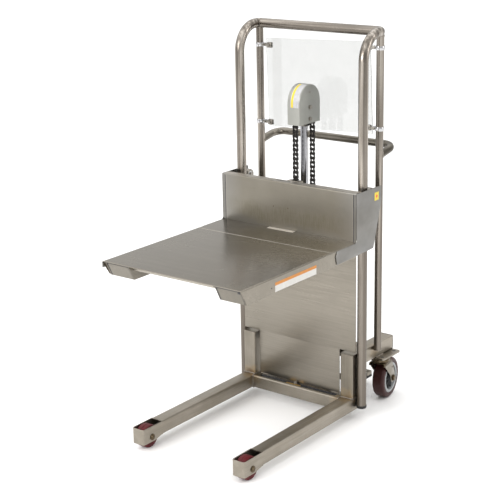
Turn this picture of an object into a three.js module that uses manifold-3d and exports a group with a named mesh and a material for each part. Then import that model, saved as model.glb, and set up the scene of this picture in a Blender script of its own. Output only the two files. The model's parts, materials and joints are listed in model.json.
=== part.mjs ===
// Foot-pumped platform lift truck: a twin-tube stainless mast on two straddle legs, a platform
// carriage hung on roller chain, and a hydraulic ram whose head sprocket doubles the stroke.
// Millimetres, +Z up, +Y towards the operator's handle, +X to the right seen from the platform.
import * as THREE from "three";
import { mergeVertices } from "three/addons/utils/BufferGeometryUtils.js";
import Module from "manifold-3d";

const wasm = await Module();
wasm.setup();

const GAP = 0.3; // clearance left between touching pieces
const WALL = 3; // wall of the rectangular tubes
const SHEET = 2.5; // folded sheet
const PANEL_SHEET = 2;
const MAST_WALL = 3.4; // wall of the front mast tubes
const REAR_WALL = 2.9; // wall of the rear tubes and the handle

// Mast: heights are above the floor, Y = 0 is the plane of the front tubes.
const MAST_X = 257;
const MAST_R = 16.7;
const MAST_FOOT = 52;
const MAST_TOP = 1352;
const MAST_BEND = 92;
const REAR_X = 251.5;
const REAR_Y = 111.7;
const REAR_R = 13.35;
const REAR_FOOT = 224;
const HANDLE_Z = 930;
const HANDLE_Y = 210;
const HANDLE_BEND = 40;
const HANDLE_TILT = THREE.MathUtils.degToRad(11);
const PANEL_FRONT = -18;
const PANEL_HALF = 243;
const PANEL_TOP = 606;
const PANEL_NOTCH_IN = 176; // the lower corners are cut away outside this half width
const PANEL_NOTCH_TOP = 250;

// Base.
const BEAM = 50.8; // square tube of legs, posts and cross members
const LEG_IN = 188;
const LEG_OUT = LEG_IN + BEAM;
const LEG_TOP = 78;
const LEG_BOTTOM = 30;
const LEG_FRONT = -656;
const SKIRT_BOTTOM = 22;
const SKIRT_END = -598;
const SKIRT_RISE_END = -562;
const WELL_FRONT = -653;
const WELL_BACK = -556;
const LOAD_AXLE_Y = -611.5;
const LOAD_R = 40;
const LOAD_HALF_WIDTH = 19;
const LOAD_AXLE_R = 6;
const POST_FRONT = -32;
const POST_BACK = POST_FRONT + BEAM;
const POST_TOP = 242;
const CROSS_FRONT = -47.6;
const REAR_BEAM_BOTTOM = 187;
const REAR_BEAM_TOP = REAR_BEAM_BOTTOM + BEAM;
const REAR_BEAM_END = 237;
const TIE_FRONT = 58;

// Casters.
const CASTER_X = 222;
const CASTER_Y = 180;
const CASTER_TRAIL = 48;
const CASTER_R = 75;
const CASTER_HALF_WIDTH = 23;
const CASTER_HUB_HALF = 26.5;
const CASTER_PLATE = 6;
const CASTER_CROWN = 153; // underside of the fork's crown
const FORK_HALF = 31;
const FORK_WALL = 3.5;
const CASTER_YAW = { left: -9, right: 9 };

// Ram, head and chain.
const PITCH = 15.875;
const TEETH = 20;
const SPROCKET_R = PITCH / 2 / Math.sin(Math.PI / TEETH);
const RAM_Y = 23.5;
const SPROCKET_Z = 1089;
const FRONT_RUN_Y = RAM_Y - SPROCKET_R;
const REAR_RUN_Y = RAM_Y + SPROCKET_R;
const FRONT_PIN_Z = SPROCKET_Z - 15 * PITCH;
const REAR_PIN_Z = SPROCKET_Z - 52 * PITCH;
const ROD_R = 12.7;
const ROD_FOOT = 380;
const ROD_TOP = 1023;
const CYLINDER_R = 30;
const CYLINDER_TOP = 764;
const GLAND_HEIGHT = 26;
const STRAP_Z = [196, 226];
const BASE_PLATE = 4;
const PUMP_X = [42, 78];
const VALVE_X = [-64, -38];
const PUMP_TOP = 150;
const YOKE_HALF = 19;
const YOKE_DEPTH = 16; // half depth of the yoke along Y
const SPROCKET_PIN_R = 8;
const CAP_BOLT_Z = 1049;
const CAP_R = 62;
const CAP_WIDTH = 51;
const CAP_ARCH_Z = 1106;
const CAP_SKIRT_Z = 1033;
const CHAIN_HALF = 9;
const HALF_STROKE = 254; // the ram head moves half as far as the carriage
const RUNS = 5; // overlapping stretches that make up the front chain run
const LINK_LENGTH = 20;
const LINK_STEP = 22;

// Carriage and platform.
const DECK_TOP = 672;
const DECK_DEPTH = 52;
const DECK_FRONT = -710;
const DECK_HALF = 283;
const CHANNEL_X = [176, 276];
const CARRIAGE_FOOT = 624;
const BACK_PLATE_FRONT = -79;
const CARRIAGE_TOP = 839;
const SIDE_IN = 283.3;
const ROLLER_R = 19;
const ROLLER_WIDTH = 24;
const ROLLER_Z = { upper: 816, lower: 644 };
const ROLLER_Y = { upper: MAST_R + GAP + ROLLER_R, lower: -(MAST_R + GAP + ROLLER_R) };

// Pedal and shield.
const PEDAL_X = 90;
const PEDAL_END = 305;
const PEDAL_PIVOT = { y: 44, z: 120 };
const PAD_LENGTH = 40;
const LEVER_PIVOT = { y: 30, z: 128 };
const LEVER_X = [-96, -86];
const SHIELD_Z = 1151;
const SHIELD_HALF = 219;
const SHIELD_HEIGHT = 315;
const SHIELD_TILT = THREE.MathUtils.degToRad(2);
const CLAMP_Z = { left: [1000, 1276], right: [1023, 1297] };

// The origin lies on the floor in the middle of the machine's length.
const ORIGIN_Y = (DECK_FRONT + PEDAL_END) / 2;

const truck = new THREE.Group();
truck.position.y = -ORIGIN_Y;

function material(color, roughness, metalness) {
  return new THREE.MeshStandardMaterial({ color, roughness, metalness });
}

const finish = {
  stainless: () => material(0x9c968a, 0.42, 0.9),
  satin: () => material(0xa39d92, 0.5, 0.85),
  chrome: () => material(0xc8c8c8, 0.12, 1),
  chain: () => material(0x2a2826, 0.5, 0.8),
  maroon: () => material(0x5a1f22, 0.45, 0),
  red: () => material(0x8e2434, 0.4, 0),
  black: () => material(0x1a1a1a, 0.7, 0),
  bronze: () => material(0xa0793c, 0.4, 0.9),
  clear: () => material(0xe8e8e6, 0.1, 0),
};

function add(name, geometry, mat, parent = truck) {
  const mesh = new THREE.Mesh(geometry, mat);
  mesh.name = name;
  parent.add(mesh);
  return mesh;
}

// ---- geometry helpers ----

function solid(geometry) {
  const bare = geometry.clone();
  bare.deleteAttribute("normal");
  bare.deleteAttribute("uv");
  const merged = mergeVertices(bare, 1e-4);
  return new wasm.Manifold(
    new wasm.Mesh({
      numProp: 3,
      vertProperties: new Float32Array(merged.attributes.position.array),
      triVerts: new Uint32Array(merged.index.array),
    }),
  );
}

function geometryOf(manifold) {
  const { vertProperties, triVerts } = manifold.getMesh();
  const geometry = new THREE.BufferGeometry();
  geometry.setAttribute("position", new THREE.BufferAttribute(vertProperties, 3));
  geometry.setIndex(new THREE.BufferAttribute(triVerts, 1));
  const flat = geometry.toNonIndexed();
  flat.computeVertexNormals();
  return flat;
}

function union(...geometries) {
  return geometryOf(geometries.map(solid).reduce((a, b) => a.add(b)));
}

function cut(body, ...tools) {
  return geometryOf(tools.map(solid).reduce((a, b) => a.subtract(b), solid(body)));
}

// A block between two corners.
function block(x0, x1, y0, y1, z0, z1) {
  const geometry = new THREE.BoxGeometry(x1 - x0, y1 - y0, z1 - z0);
  return geometry.translate((x0 + x1) / 2, (y0 + y1) / 2, (z0 + z1) / 2);
}

// A cylinder between two heights on a vertical axis.
function post(x, y, z0, z1, radius, sides = 24) {
  const geometry = new THREE.CylinderGeometry(radius, radius, z1 - z0, sides);
  return geometry.rotateX(Math.PI / 2).translate(x, y, (z0 + z1) / 2);
}

// A cylinder along X between two stations.
function shaft(x0, x1, y, z, radius, sides = 20) {
  const geometry = new THREE.CylinderGeometry(radius, radius, x1 - x0, sides);
  return geometry.rotateZ(Math.PI / 2).translate((x0 + x1) / 2, y, z);
}

// A closed profile of [radius, station] points turned about the X axis.
function lathed(profile, sides) {
  const line = [...profile, profile[0]].map(([r, x]) => new THREE.Vector2(r, x));
  return new THREE.LatheGeometry(line, sides).rotateZ(-Math.PI / 2);
}

// An outline drawn in Y (across) and Z (up), extruded along X.
function plateX(shape, x0, x1, curveSegments = 12) {
  const geometry = new THREE.ExtrudeGeometry(shape, {
    depth: x1 - x0,
    bevelEnabled: false,
    curveSegments,
  });
  const axes = new THREE.Matrix4().set(0, 0, 1, x0, 1, 0, 0, 0, 0, 1, 0, 0, 0, 0, 0, 1);
  return geometry.applyMatrix4(axes);
}

function outline(points) {
  return new THREE.Shape(points.map(([a, b]) => new THREE.Vector2(a, b)));
}

function ring(outer, inner) {
  const shape = new THREE.Shape().absarc(0, 0, outer, 0, 2 * Math.PI);
  if (inner) shape.holes.push(new THREE.Path().absarc(0, 0, inner, 0, 2 * Math.PI, true));
  return shape;
}

// A route through fixed stations, so that a tube has steps only where it bends.
class Route extends THREE.Curve {
  constructor(stations) {
    super();
    this.stations = stations;
  }
  getUtoTmapping(u) {
    return u;
  }
  getPoint(t) {
    const last = this.stations.length - 1;
    const i = Math.min(Math.floor(t * last + 1e-9), last - 1);
    return this.stations[i].clone().lerp(this.stations[i + 1], t * last - i);
  }
  getTangent(t) {
    const last = this.stations.length - 1;
    const i = Math.round(t * last);
    const before = this.stations[i].clone().sub(this.stations[Math.max(i - 1, 0)]).normalize();
    const after = this.stations[Math.min(i + 1, last)].clone().sub(this.stations[i]).normalize();
    return before.add(after).normalize();
  }
}

function tube(stations, outer, inner, sides = 24) {
  return new THREE.ExtrudeGeometry(ring(outer, inner), {
    extrudePath: new Route(stations),
    steps: stations.length - 1,
    bevelEnabled: false,
    curveSegments: sides / 2,
  });
}

// Stations round a bend that starts at a point along one direction and leaves along another.
function bend(start, from, to, radius, steps) {
  const centre = start.clone().addScaledVector(to, radius);
  return Array.from({ length: steps + 1 }, (_, i) => {
    const angle = ((i / steps) * Math.PI) / 2;
    return centre
      .clone()
      .addScaledVector(to, -radius * Math.cos(angle))
      .addScaledVector(from, radius * Math.sin(angle));
  });
}

const SIDES = [
  { side: "left", s: -1 },
  { side: "right", s: 1 },
];

function span(s, a, b) {
  return s > 0 ? [a, b] : [-b, -a];
}

// ---- mast ----

const UP = new THREE.Vector3(0, 0, 1);
const BACK = new THREE.Vector3(0, 1, 0);

function mast() {
  for (const { side, s } of SIDES) {
    const x = s * MAST_X;
    const bendStart = new THREE.Vector3(x, 0, MAST_TOP - MAST_BEND);
    const stations = [
      new THREE.Vector3(x, 0, MAST_FOOT),
      ...bend(bendStart, UP, BACK, MAST_BEND, 8),
      new THREE.Vector3(x, REAR_Y - MAST_R - GAP, MAST_TOP),
    ];
    add(`mast_tube_${side}`, tube(stations, MAST_R, MAST_R - MAST_WALL), finish.stainless());
    const rear = [
      new THREE.Vector3(s * REAR_X, REAR_Y, REAR_FOOT),
      new THREE.Vector3(s * REAR_X, REAR_Y, MAST_TOP - MAST_R - GAP),
    ];
    add(`rear_tube_${side}`, tube(rear, REAR_R, REAR_R - REAR_WALL, 20), finish.stainless());
  }
  const bar = MAST_X + MAST_R;
  add("mast_top_bar", shaft(-bar, bar, REAR_Y, MAST_TOP, MAST_R, 24), finish.stainless());
}

function handle() {
  const away = new THREE.Vector3(0, Math.cos(HANDLE_TILT), Math.sin(HANDLE_TILT));
  const root = new THREE.Vector3(0, REAR_Y, HANDLE_Z);
  const reach = (HANDLE_Y - REAR_Y) / away.y;
  const at = (x, along) => root.clone().addScaledVector(away, along).setX(x);
  const inward = new THREE.Vector3(1, 0, 0);
  const outward = new THREE.Vector3(-1, 0, 0);
  const bendRight = bend(at(REAR_X, reach - HANDLE_BEND), away, outward, HANDLE_BEND, 6);
  const bendLeft = bend(at(-REAR_X, reach - HANDLE_BEND), away, inward, HANDLE_BEND, 6);
  const weldGap = REAR_R + 4;
  const stations = [
    at(-REAR_X, weldGap),
    ...bendLeft,
    ...bendRight.reverse(),
    at(REAR_X, weldGap),
  ];
  add("push_handle", tube(stations, REAR_R, REAR_R - REAR_WALL, 20), finish.stainless());
}

function frontPanel() {
  const foot = LEG_TOP + 5;
  const points = [
    [-PANEL_NOTCH_IN, foot],
    [PANEL_NOTCH_IN, foot],
    [PANEL_NOTCH_IN, PANEL_NOTCH_TOP],
    [PANEL_HALF, PANEL_NOTCH_TOP],
    [PANEL_HALF, PANEL_TOP],
    [-PANEL_HALF, PANEL_TOP],
    [-PANEL_HALF, PANEL_NOTCH_TOP],
    [-PANEL_NOTCH_IN, PANEL_NOTCH_TOP],
  ];
  const sheet = new THREE.ExtrudeGeometry(outline(points), {
    depth: PANEL_SHEET,
    bevelEnabled: false,
  });
  sheet.rotateX(Math.PI / 2).translate(0, PANEL_FRONT + PANEL_SHEET, 0);
  const foldedFoot = block(
    -PANEL_NOTCH_IN,
    PANEL_NOTCH_IN,
    PANEL_FRONT,
    PANEL_FRONT + 10,
    foot,
    foot + SHEET,
  );
  add("front_panel", union(sheet, foldedFoot), finish.satin());
}

// ---- base ----

function legs() {
  for (const { side, s } of SIDES) {
    const [x0, x1] = span(s, LEG_IN, LEG_OUT);
    const profile = outline([
      [LEG_FRONT, SKIRT_BOTTOM],
      [SKIRT_END, SKIRT_BOTTOM],
      [SKIRT_RISE_END, LEG_BOTTOM],
      [POST_BACK, LEG_BOTTOM],
      [POST_BACK, LEG_TOP],
      [LEG_FRONT, LEG_TOP],
    ]);
    const hollow = block(
      x0 + WALL,
      x1 - WALL,
      WELL_FRONT,
      POST_BACK + 1,
      LEG_BOTTOM + WALL,
      LEG_TOP - WALL,
    );
    const well = block(x0 + WALL, x1 - WALL, WELL_FRONT, WELL_BACK, SKIRT_BOTTOM - 1, LEG_TOP + 1);
    const axleHole = shaft(x0 - 1, x1 + 1, LOAD_AXLE_Y, LOAD_R, LOAD_AXLE_R + GAP);
    add(`leg_${side}`, cut(plateX(profile, x0, x1), hollow, well, axleHole), finish.stainless());

    const headR = 9.5;
    const headOut = 6;
    const axle = union(
      shaft(x0 - headOut + 1, x1 + headOut - 1, LOAD_AXLE_Y, LOAD_R, LOAD_AXLE_R, 16),
      shaft(x0 - headOut, x0 - GAP, LOAD_AXLE_Y, LOAD_R, headR, 18),
      shaft(x1 + GAP, x1 + headOut, LOAD_AXLE_Y, LOAD_R, headR, 18),
    );
    add(`load_axle_${side}`, axle, finish.stainless());

    const bore = LOAD_AXLE_R + 0.4;
    const edge = 4;
    const wheel = [
      [bore, -LOAD_HALF_WIDTH],
      [LOAD_R - edge, -LOAD_HALF_WIDTH],
      [LOAD_R, edge - LOAD_HALF_WIDTH],
      [LOAD_R, LOAD_HALF_WIDTH - edge],
      [LOAD_R - edge, LOAD_HALF_WIDTH],
      [bore, LOAD_HALF_WIDTH],
    ];
    const roller = lathed(wheel, 40);
    roller.translate(s * (LEG_IN + BEAM / 2), LOAD_AXLE_Y, LOAD_R);
    add(`load_wheel_${side}`, roller, finish.red());

    const postOuter = block(x0, x1, POST_FRONT, POST_BACK, LEG_TOP + GAP, POST_TOP);
    const postHollow = block(
      x0 + WALL,
      x1 - WALL,
      POST_FRONT + WALL,
      POST_BACK - WALL,
      0,
      POST_TOP - WALL,
    );
    add(`mast_post_${side}`, cut(postOuter, postHollow), finish.stainless());

    const beamOuter = block(x0, x1, POST_BACK + GAP, REAR_BEAM_END, REAR_BEAM_BOTTOM, REAR_BEAM_TOP);
    const beamHollow = block(
      x0 + WALL,
      x1 - WALL,
      0,
      REAR_BEAM_END - WALL,
      REAR_BEAM_BOTTOM + WALL,
      REAR_BEAM_TOP - WALL,
    );
    const notch = post(s * REAR_X, REAR_Y, REAR_FOOT - GAP, REAR_BEAM_TOP + 1, REAR_R + 0.6);
    add(`rear_beam_${side}`, cut(beamOuter, beamHollow, notch), finish.stainless());
  }
}

function crossMembers() {
  const half = LEG_IN - GAP;
  const crossBack = CROSS_FRONT + BEAM;
  const frontOuter = block(-half, half, CROSS_FRONT, crossBack, LEG_BOTTOM, LEG_TOP);
  const frontHollow = block(
    -half - 1,
    half + 1,
    CROSS_FRONT + WALL,
    crossBack - WALL,
    LEG_BOTTOM + WALL,
    LEG_TOP - WALL,
  );
  const slotHalf = 168;
  const slot = block(
    -slotHalf,
    slotHalf,
    CROSS_FRONT + 10,
    CROSS_FRONT + 22,
    LEG_TOP - WALL - 1,
    LEG_TOP + 1,
  );
  add("front_cross_member", cut(frontOuter, frontHollow, slot), finish.stainless());

  const tieBack = TIE_FRONT + BEAM;
  const tieOuter = block(-half, half, TIE_FRONT, tieBack, REAR_BEAM_BOTTOM, REAR_BEAM_TOP);
  const tieHollow = block(
    -half - 1,
    half + 1,
    TIE_FRONT + WALL,
    tieBack - WALL,
    REAR_BEAM_BOTTOM + WALL,
    REAR_BEAM_TOP - WALL,
  );
  const lug = block(-9, 9, REAR_RUN_Y - 5, REAR_RUN_Y + 5, REAR_BEAM_TOP - 1, REAR_PIN_Z - 9);
  add("rear_tie_member", union(cut(tieOuter, tieHollow), lug), finish.stainless());
}

// ---- casters ----

function casters() {
  for (const { side, s } of SIDES) {
    const plateTop = REAR_BEAM_BOTTOM - GAP;
    const plateBottom = plateTop - CASTER_PLATE;
    const plate = block(
      s * CASTER_X - 50,
      s * CASTER_X + 50,
      CASTER_Y - 59,
      CASTER_Y + 57,
      plateBottom,
      plateTop,
    );
    add(`caster_plate_${side}`, plate, finish.satin());

    const caster = new THREE.Group();
    caster.position.set(s * CASTER_X, CASTER_Y, 0);
    caster.rotation.z = THREE.MathUtils.degToRad(CASTER_YAW[side]);
    truck.add(caster);

    const cheek = outline([
      [-34, CASTER_CROWN],
      [34, CASTER_CROWN],
      [CASTER_TRAIL + 13, CASTER_R + 4],
      [CASTER_TRAIL + 8, CASTER_R - 12],
      [CASTER_TRAIL - 8, CASTER_R - 12],
      [CASTER_TRAIL - 15, CASTER_R + 2],
    ]);
    const fork = union(
      post(0, 0, CASTER_CROWN + 4, plateBottom - GAP, 36, 32),
      block(-FORK_HALF, FORK_HALF, -34, 34, CASTER_CROWN - 2, CASTER_CROWN + 5),
      plateX(cheek, -FORK_HALF, FORK_WALL - FORK_HALF),
      plateX(cheek, FORK_HALF - FORK_WALL, FORK_HALF),
      shaft(-FORK_HALF - 5, FORK_HALF + 5, CASTER_TRAIL, CASTER_R, 6, 16),
      shaft(-FORK_HALF - 7, 1 - FORK_HALF, CASTER_TRAIL, CASTER_R, 10, 6),
      shaft(FORK_HALF - 1, FORK_HALF + 7, CASTER_TRAIL, CASTER_R, 10, 6),
    );
    add(`caster_fork_${side}`, fork, finish.satin(), caster);

    const profile = [
      [6.4, -CASTER_HUB_HALF],
      [20, -CASTER_HUB_HALF],
      [20, -CASTER_HALF_WIDTH],
      [CASTER_R - 8, -CASTER_HALF_WIDTH],
      [CASTER_R - 2, 4 - CASTER_HALF_WIDTH],
      [CASTER_R, -11],
      [CASTER_R, 11],
      [CASTER_R - 2, CASTER_HALF_WIDTH - 4],
      [CASTER_R - 8, CASTER_HALF_WIDTH],
      [20, CASTER_HALF_WIDTH],
      [20, CASTER_HUB_HALF],
      [6.4, CASTER_HUB_HALF],
    ];
    const wheel = lathed(profile, 40);
    wheel.translate(0, CASTER_TRAIL, CASTER_R);
    add(`caster_wheel_${side}`, wheel, finish.maroon(), caster);
  }
}

// ---- hydraulics ----

function hydraulics() {
  const baseTop = LEG_TOP + GAP + BASE_PLATE;
  const base = block(-60, 120, -14, RAM_Y + 44, LEG_TOP + GAP, baseTop);
  add("ram_base_plate", base, finish.stainless());
  const footBlock = block(-48, 14, CROSS_FRONT + 11, CROSS_FRONT + 21, 40, LEG_TOP);
  add("ram_foot_block", footBlock, finish.bronze());

  const barrel = cut(
    union(
      post(0, RAM_Y, baseTop + GAP, CYLINDER_TOP, CYLINDER_R, 32),
      post(0, RAM_Y, CYLINDER_TOP - GLAND_HEIGHT, CYLINDER_TOP, CYLINDER_R + 3, 32),
    ),
    post(0, RAM_Y, baseTop + 20, CYLINDER_TOP + 1, ROD_R + 0.35, 32),
  );
  add("ram_barrel", barrel, finish.black());

  const strap = cut(
    block(-44, 44, RAM_Y - 5, TIE_FRONT - GAP, ...STRAP_Z),
    post(0, RAM_Y, STRAP_Z[0] - 6, STRAP_Z[1] + 4, CYLINDER_R + GAP, 32),
  );
  add("ram_strap", strap, finish.stainless());

  const pump = union(
    block(...PUMP_X, -8, 60, baseTop + GAP, PUMP_TOP),
    block(...PUMP_X, 6, 46, PUMP_TOP - 1, PUMP_TOP + 26),
    shaft(PUMP_X[1] - 1, PUMP_X[1] + 26, PEDAL_PIVOT.y, PEDAL_PIVOT.z, 7, 16),
  );
  add("pump_block", pump, finish.black());

  const arm = outline([
    [30, 112],
    [36, 132],
    [54, 132],
    [160, 68],
    [PEDAL_END - PAD_LENGTH, 46],
    [PEDAL_END - PAD_LENGTH, 30],
    [154, 52],
  ]);
  const pedal = cut(
    plateX(arm, PEDAL_X - 6, PEDAL_X + 6),
    shaft(PEDAL_X - 20, PEDAL_X + 20, PEDAL_PIVOT.y, PEDAL_PIVOT.z, 7.6, 32),
  );
  add("pump_pedal_arm", pedal, finish.stainless());
  add("pump_pedal_tread", padOnEnd(), finish.black());

  const blade = outline([
    [26, 120],
    [34, 136],
    [120, 176],
    [150, 176],
    [150, 168],
    [122, 168],
  ]);
  const lever = union(
    shaft(LEVER_X[0], VALVE_X[0] - 2, LEVER_PIVOT.y, LEVER_PIVOT.z, 8, 16),
    plateX(blade, ...LEVER_X),
  );
  add("release_lever", lever, finish.stainless());
  const valve = cut(
    block(...VALVE_X, -4, 58, baseTop + GAP, PUMP_TOP),
    shaft(VALVE_X[0] - 6, VALVE_X[0] + 14, LEVER_PIVOT.y, LEVER_PIVOT.z, 8.2, 16),
  );
  add("release_valve", valve, finish.black());
}

function padOnEnd() {
  const start = PEDAL_END - PAD_LENGTH + GAP;
  return block(PEDAL_X - 20, PEDAL_X + 20, start, PEDAL_END, 26, 50);
}

function head() {
  add("ram_rod", post(0, RAM_Y, ROD_FOOT, ROD_TOP, ROD_R, 32), finish.chrome());
  add("head_yoke", headYoke(), finish.stainless());
  add("head_cap", headCap(), finish.satin());
  add("chain_sprocket", sprocketWheel(), finish.chain());
  add("chain_over_sprocket", chainOverSprocket(), finish.chain());
}

function headYoke() {
  const foot = ROD_TOP + GAP;
  const yokeFront = RAM_Y - YOKE_DEPTH;
  const yokeBack = RAM_Y + YOKE_DEPTH;
  const cheek = outline([
    [yokeFront, foot],
    [yokeBack, foot],
    [yokeBack, SPROCKET_Z + 14],
    [yokeFront, SPROCKET_Z + 14],
  ]);
  const nutIn = CAP_WIDTH / 2 + GAP;
  const nutOut = 34;
  return union(
    block(-YOKE_HALF, YOKE_HALF, yokeFront, yokeBack, foot, foot + 8),
    plateX(cheek, -YOKE_HALF, 6 - YOKE_HALF),
    plateX(cheek, YOKE_HALF - 6, YOKE_HALF),
    shaft(2 - nutOut, nutOut - 2, RAM_Y, SPROCKET_Z, SPROCKET_PIN_R, 24),
    shaft(-nutOut, -nutIn, RAM_Y, SPROCKET_Z, 12, 6),
    shaft(nutIn, nutOut, RAM_Y, SPROCKET_Z, 12, 6),
  );
}

function headCap() {
  const dome = (r, z0) => {
    const shape = new THREE.Shape();
    shape.moveTo(RAM_Y - r, z0);
    shape.lineTo(RAM_Y + r, z0);
    shape.lineTo(RAM_Y + r, CAP_ARCH_Z);
    shape.absarc(RAM_Y, CAP_ARCH_Z, r, 0, Math.PI);
    return shape;
  };
  const capHalf = CAP_WIDTH / 2;
  const cap = cut(
    plateX(dome(CAP_R, CAP_SKIRT_Z), -capHalf, capHalf, 20),
    plateX(dome(CAP_R - 2, CAP_SKIRT_Z - 1), -capHalf + 2, capHalf - 2, 20),
    shaft(-40, 40, RAM_Y, SPROCKET_Z, SPROCKET_PIN_R + GAP, 24),
  );
  const bolts = SIDES.map(({ s }) => {
    const [x0, x1] = span(s, capHalf - 1, capHalf + 5);
    return shaft(x0, x1, RAM_Y, CAP_BOLT_Z, 8, 6);
  });
  return union(cap, ...bolts);
}

function sprocketWheel() {
  const tooth = (2 * Math.PI) / TEETH;
  const rim = new THREE.Shape();
  for (let i = 0; i < TEETH; i += 1) {
    const root = SPROCKET_R - 5.4;
    const tip = SPROCKET_R + 3.4;
    const corners = [
      [root, -0.28],
      [root, 0.28],
      [tip, 0.42],
      [tip, 0.58],
    ];
    for (const [r, share] of corners) {
      const angle = (i + share) * tooth;
      const p = [r * Math.cos(angle), r * Math.sin(angle)];
      if (i === 0 && share === -0.28) rim.moveTo(...p);
      else rim.lineTo(...p);
    }
  }
  rim.closePath();
  rim.holes.push(new THREE.Path().absarc(0, 0, 8.4, 0, 2 * Math.PI, true));
  return plateX(rim, -4.3, 4.3, 12).translate(0, RAM_Y, SPROCKET_Z);
}

function chainOverSprocket() {
  const clear = SPROCKET_R + 4;
  const wrap = new THREE.Shape();
  wrap.absarc(RAM_Y, SPROCKET_Z, clear + 4, 0, Math.PI);
  wrap.lineTo(RAM_Y - clear - 4, SPROCKET_Z - LINK_LENGTH);
  wrap.lineTo(RAM_Y - clear, SPROCKET_Z - LINK_LENGTH);
  wrap.absarc(RAM_Y, SPROCKET_Z, clear, Math.PI, 0, true);
  wrap.lineTo(RAM_Y + clear, SPROCKET_Z - LINK_LENGTH);
  wrap.lineTo(RAM_Y + clear + 4, SPROCKET_Z - LINK_LENGTH);
  return plateX(wrap, -CHAIN_HALF, CHAIN_HALF, 20);
}

// The front run shortens as the carriage climbs past the ram head, so it is cut into stretches
// that close up on each other; each is one link here, at its own place along the stretch.
function chain() {
  for (let run = 0; run < RUNS - 1; run += 1) {
    const foot = FRONT_PIN_Z + 2 * run * PITCH + run * LINK_STEP - 6;
    const link = block(
      -CHAIN_HALF,
      CHAIN_HALF,
      FRONT_RUN_Y - 6,
      FRONT_RUN_Y + 6,
      foot,
      foot + LINK_LENGTH,
    );
    add(`front_chain_run_${run + 1}`, link, finish.chain());
  }
  const rear = block(
    -CHAIN_HALF,
    CHAIN_HALF,
    REAR_RUN_Y - 6,
    REAR_RUN_Y + 6,
    REAR_PIN_Z - 8,
    SPROCKET_Z - HALF_STROKE - LINK_LENGTH - 6,
  );
  add("rear_chain_run", rear, finish.chain());
}

// ---- carriage ----

const rollerProfile = [
  [5.8, -ROLLER_WIDTH / 2],
  [ROLLER_R - 2, -ROLLER_WIDTH / 2],
  [ROLLER_R, -ROLLER_WIDTH / 2 + 2],
  [ROLLER_R, ROLLER_WIDTH / 2 - 2],
  [ROLLER_R - 2, ROLLER_WIDTH / 2],
  [5.8, ROLLER_WIDTH / 2],
];

function carriage() {
  const deckBack = BACK_PLATE_FRONT - GAP;
  const half = DECK_HALF;
  const foot = DECK_TOP - DECK_DEPTH;
  const deck = cut(
    block(-half, half, DECK_FRONT, deckBack, foot, DECK_TOP),
    block(-half + SHEET, half - SHEET, DECK_FRONT + SHEET, deckBack + 1, foot - 1, DECK_TOP - SHEET),
    block(-half - 1, half + 1, DECK_FRONT - 1, DECK_FRONT + 18, foot - 1, DECK_TOP - 12),
  );
  add("platform_deck", deck, finish.satin());

  for (const { side, s } of SIDES) {
    const [x0, x1] = span(s, ...CHANNEL_X);
    const low = DECK_TOP - DECK_DEPTH - 3;
    const high = DECK_TOP - SHEET - GAP;
    const profile = outline([
      [DECK_FRONT + 5, high],
      [DECK_FRONT + 32, low],
      [deckBack - GAP, low],
      [deckBack - GAP, high],
    ]);
    const channel = cut(
      plateX(profile, x0, x1),
      block(x0 + SHEET, x1 - SHEET, DECK_FRONT + 36, deckBack + 1, low + SHEET, high + 1),
    );
    add(`deck_channel_${side}`, channel, finish.satin());
    add(`side_plate_${side}`, sidePlate(s), finish.satin());
    for (const [level, y] of Object.entries(ROLLER_Y)) {
      const roller = lathed(rollerProfile, 24);
      roller.translate(s * MAST_X, y, ROLLER_Z[level]);
      add(`${level}_roller_${side}`, roller, finish.chrome());
    }
  }
  add("back_plate", backPlate(), finish.satin());
  add("chain_anchor", chainAnchor(), finish.stainless());
}

// A side plate with the pins and collars of its two guide rollers.
function sidePlate(s) {
  const plate = outline([
    [-195, DECK_TOP - 2],
    [-205, DECK_TOP - 20],
    [-198, CARRIAGE_FOOT],
    [24, CARRIAGE_FOOT + 4],
    [72, 784],
    [72, CARRIAGE_TOP],
    [BACK_PLATE_FRONT, CARRIAGE_TOP],
    [BACK_PLATE_FRONT, DECK_TOP - 2],
  ]);
  const [p0, p1] = span(s, SIDE_IN, SIDE_IN + 3);
  const [r0, r1] = span(s, MAST_X - ROLLER_WIDTH / 2 - 4, SIDE_IN + 1);
  const [w0, w1] = span(s, MAST_X + ROLLER_WIDTH / 2 + GAP, SIDE_IN + 1);
  const levels = Object.entries(ROLLER_Y);
  const pins = levels.map(([level, y]) => shaft(r0, r1, y, ROLLER_Z[level], 5.5, 16));
  const collars = levels.map(([level, y]) => shaft(w0, w1, y, ROLLER_Z[level], 9, 16));
  return union(plateX(plate, p0, p1), ...pins, ...collars);
}

function backPlate() {
  const plateHalf = SIDE_IN - GAP;
  const flangeBack = BACK_PLATE_FRONT + 33;
  const plateBack = BACK_PLATE_FRONT + 4;
  const flangeFoot = CARRIAGE_TOP - 4;
  return cut(
    union(
      block(-plateHalf, plateHalf, BACK_PLATE_FRONT, plateBack, CARRIAGE_FOOT, CARRIAGE_TOP),
      block(-plateHalf, plateHalf, BACK_PLATE_FRONT, flangeBack, flangeFoot, CARRIAGE_TOP),
      block(-26, 26, flangeBack - 1, FRONT_RUN_Y + 7, CARRIAGE_TOP - 10, CARRIAGE_TOP),
    ),
    post(0, FRONT_RUN_Y, CARRIAGE_TOP - 20, CARRIAGE_TOP + 1, 6.4, 16),
  );
}

function chainAnchor() {
  return union(
    post(0, FRONT_RUN_Y, CARRIAGE_TOP - 42, CARRIAGE_TOP + 3, 6, 16),
    post(0, FRONT_RUN_Y, CARRIAGE_TOP - 24, CARRIAGE_TOP - 10 - GAP, 7, 6),
    block(-6, 6, FRONT_RUN_Y - 5, FRONT_RUN_Y + 5, CARRIAGE_TOP + GAP, FRONT_PIN_Z - 7),
  );
}

// ---- shield ----

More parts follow.
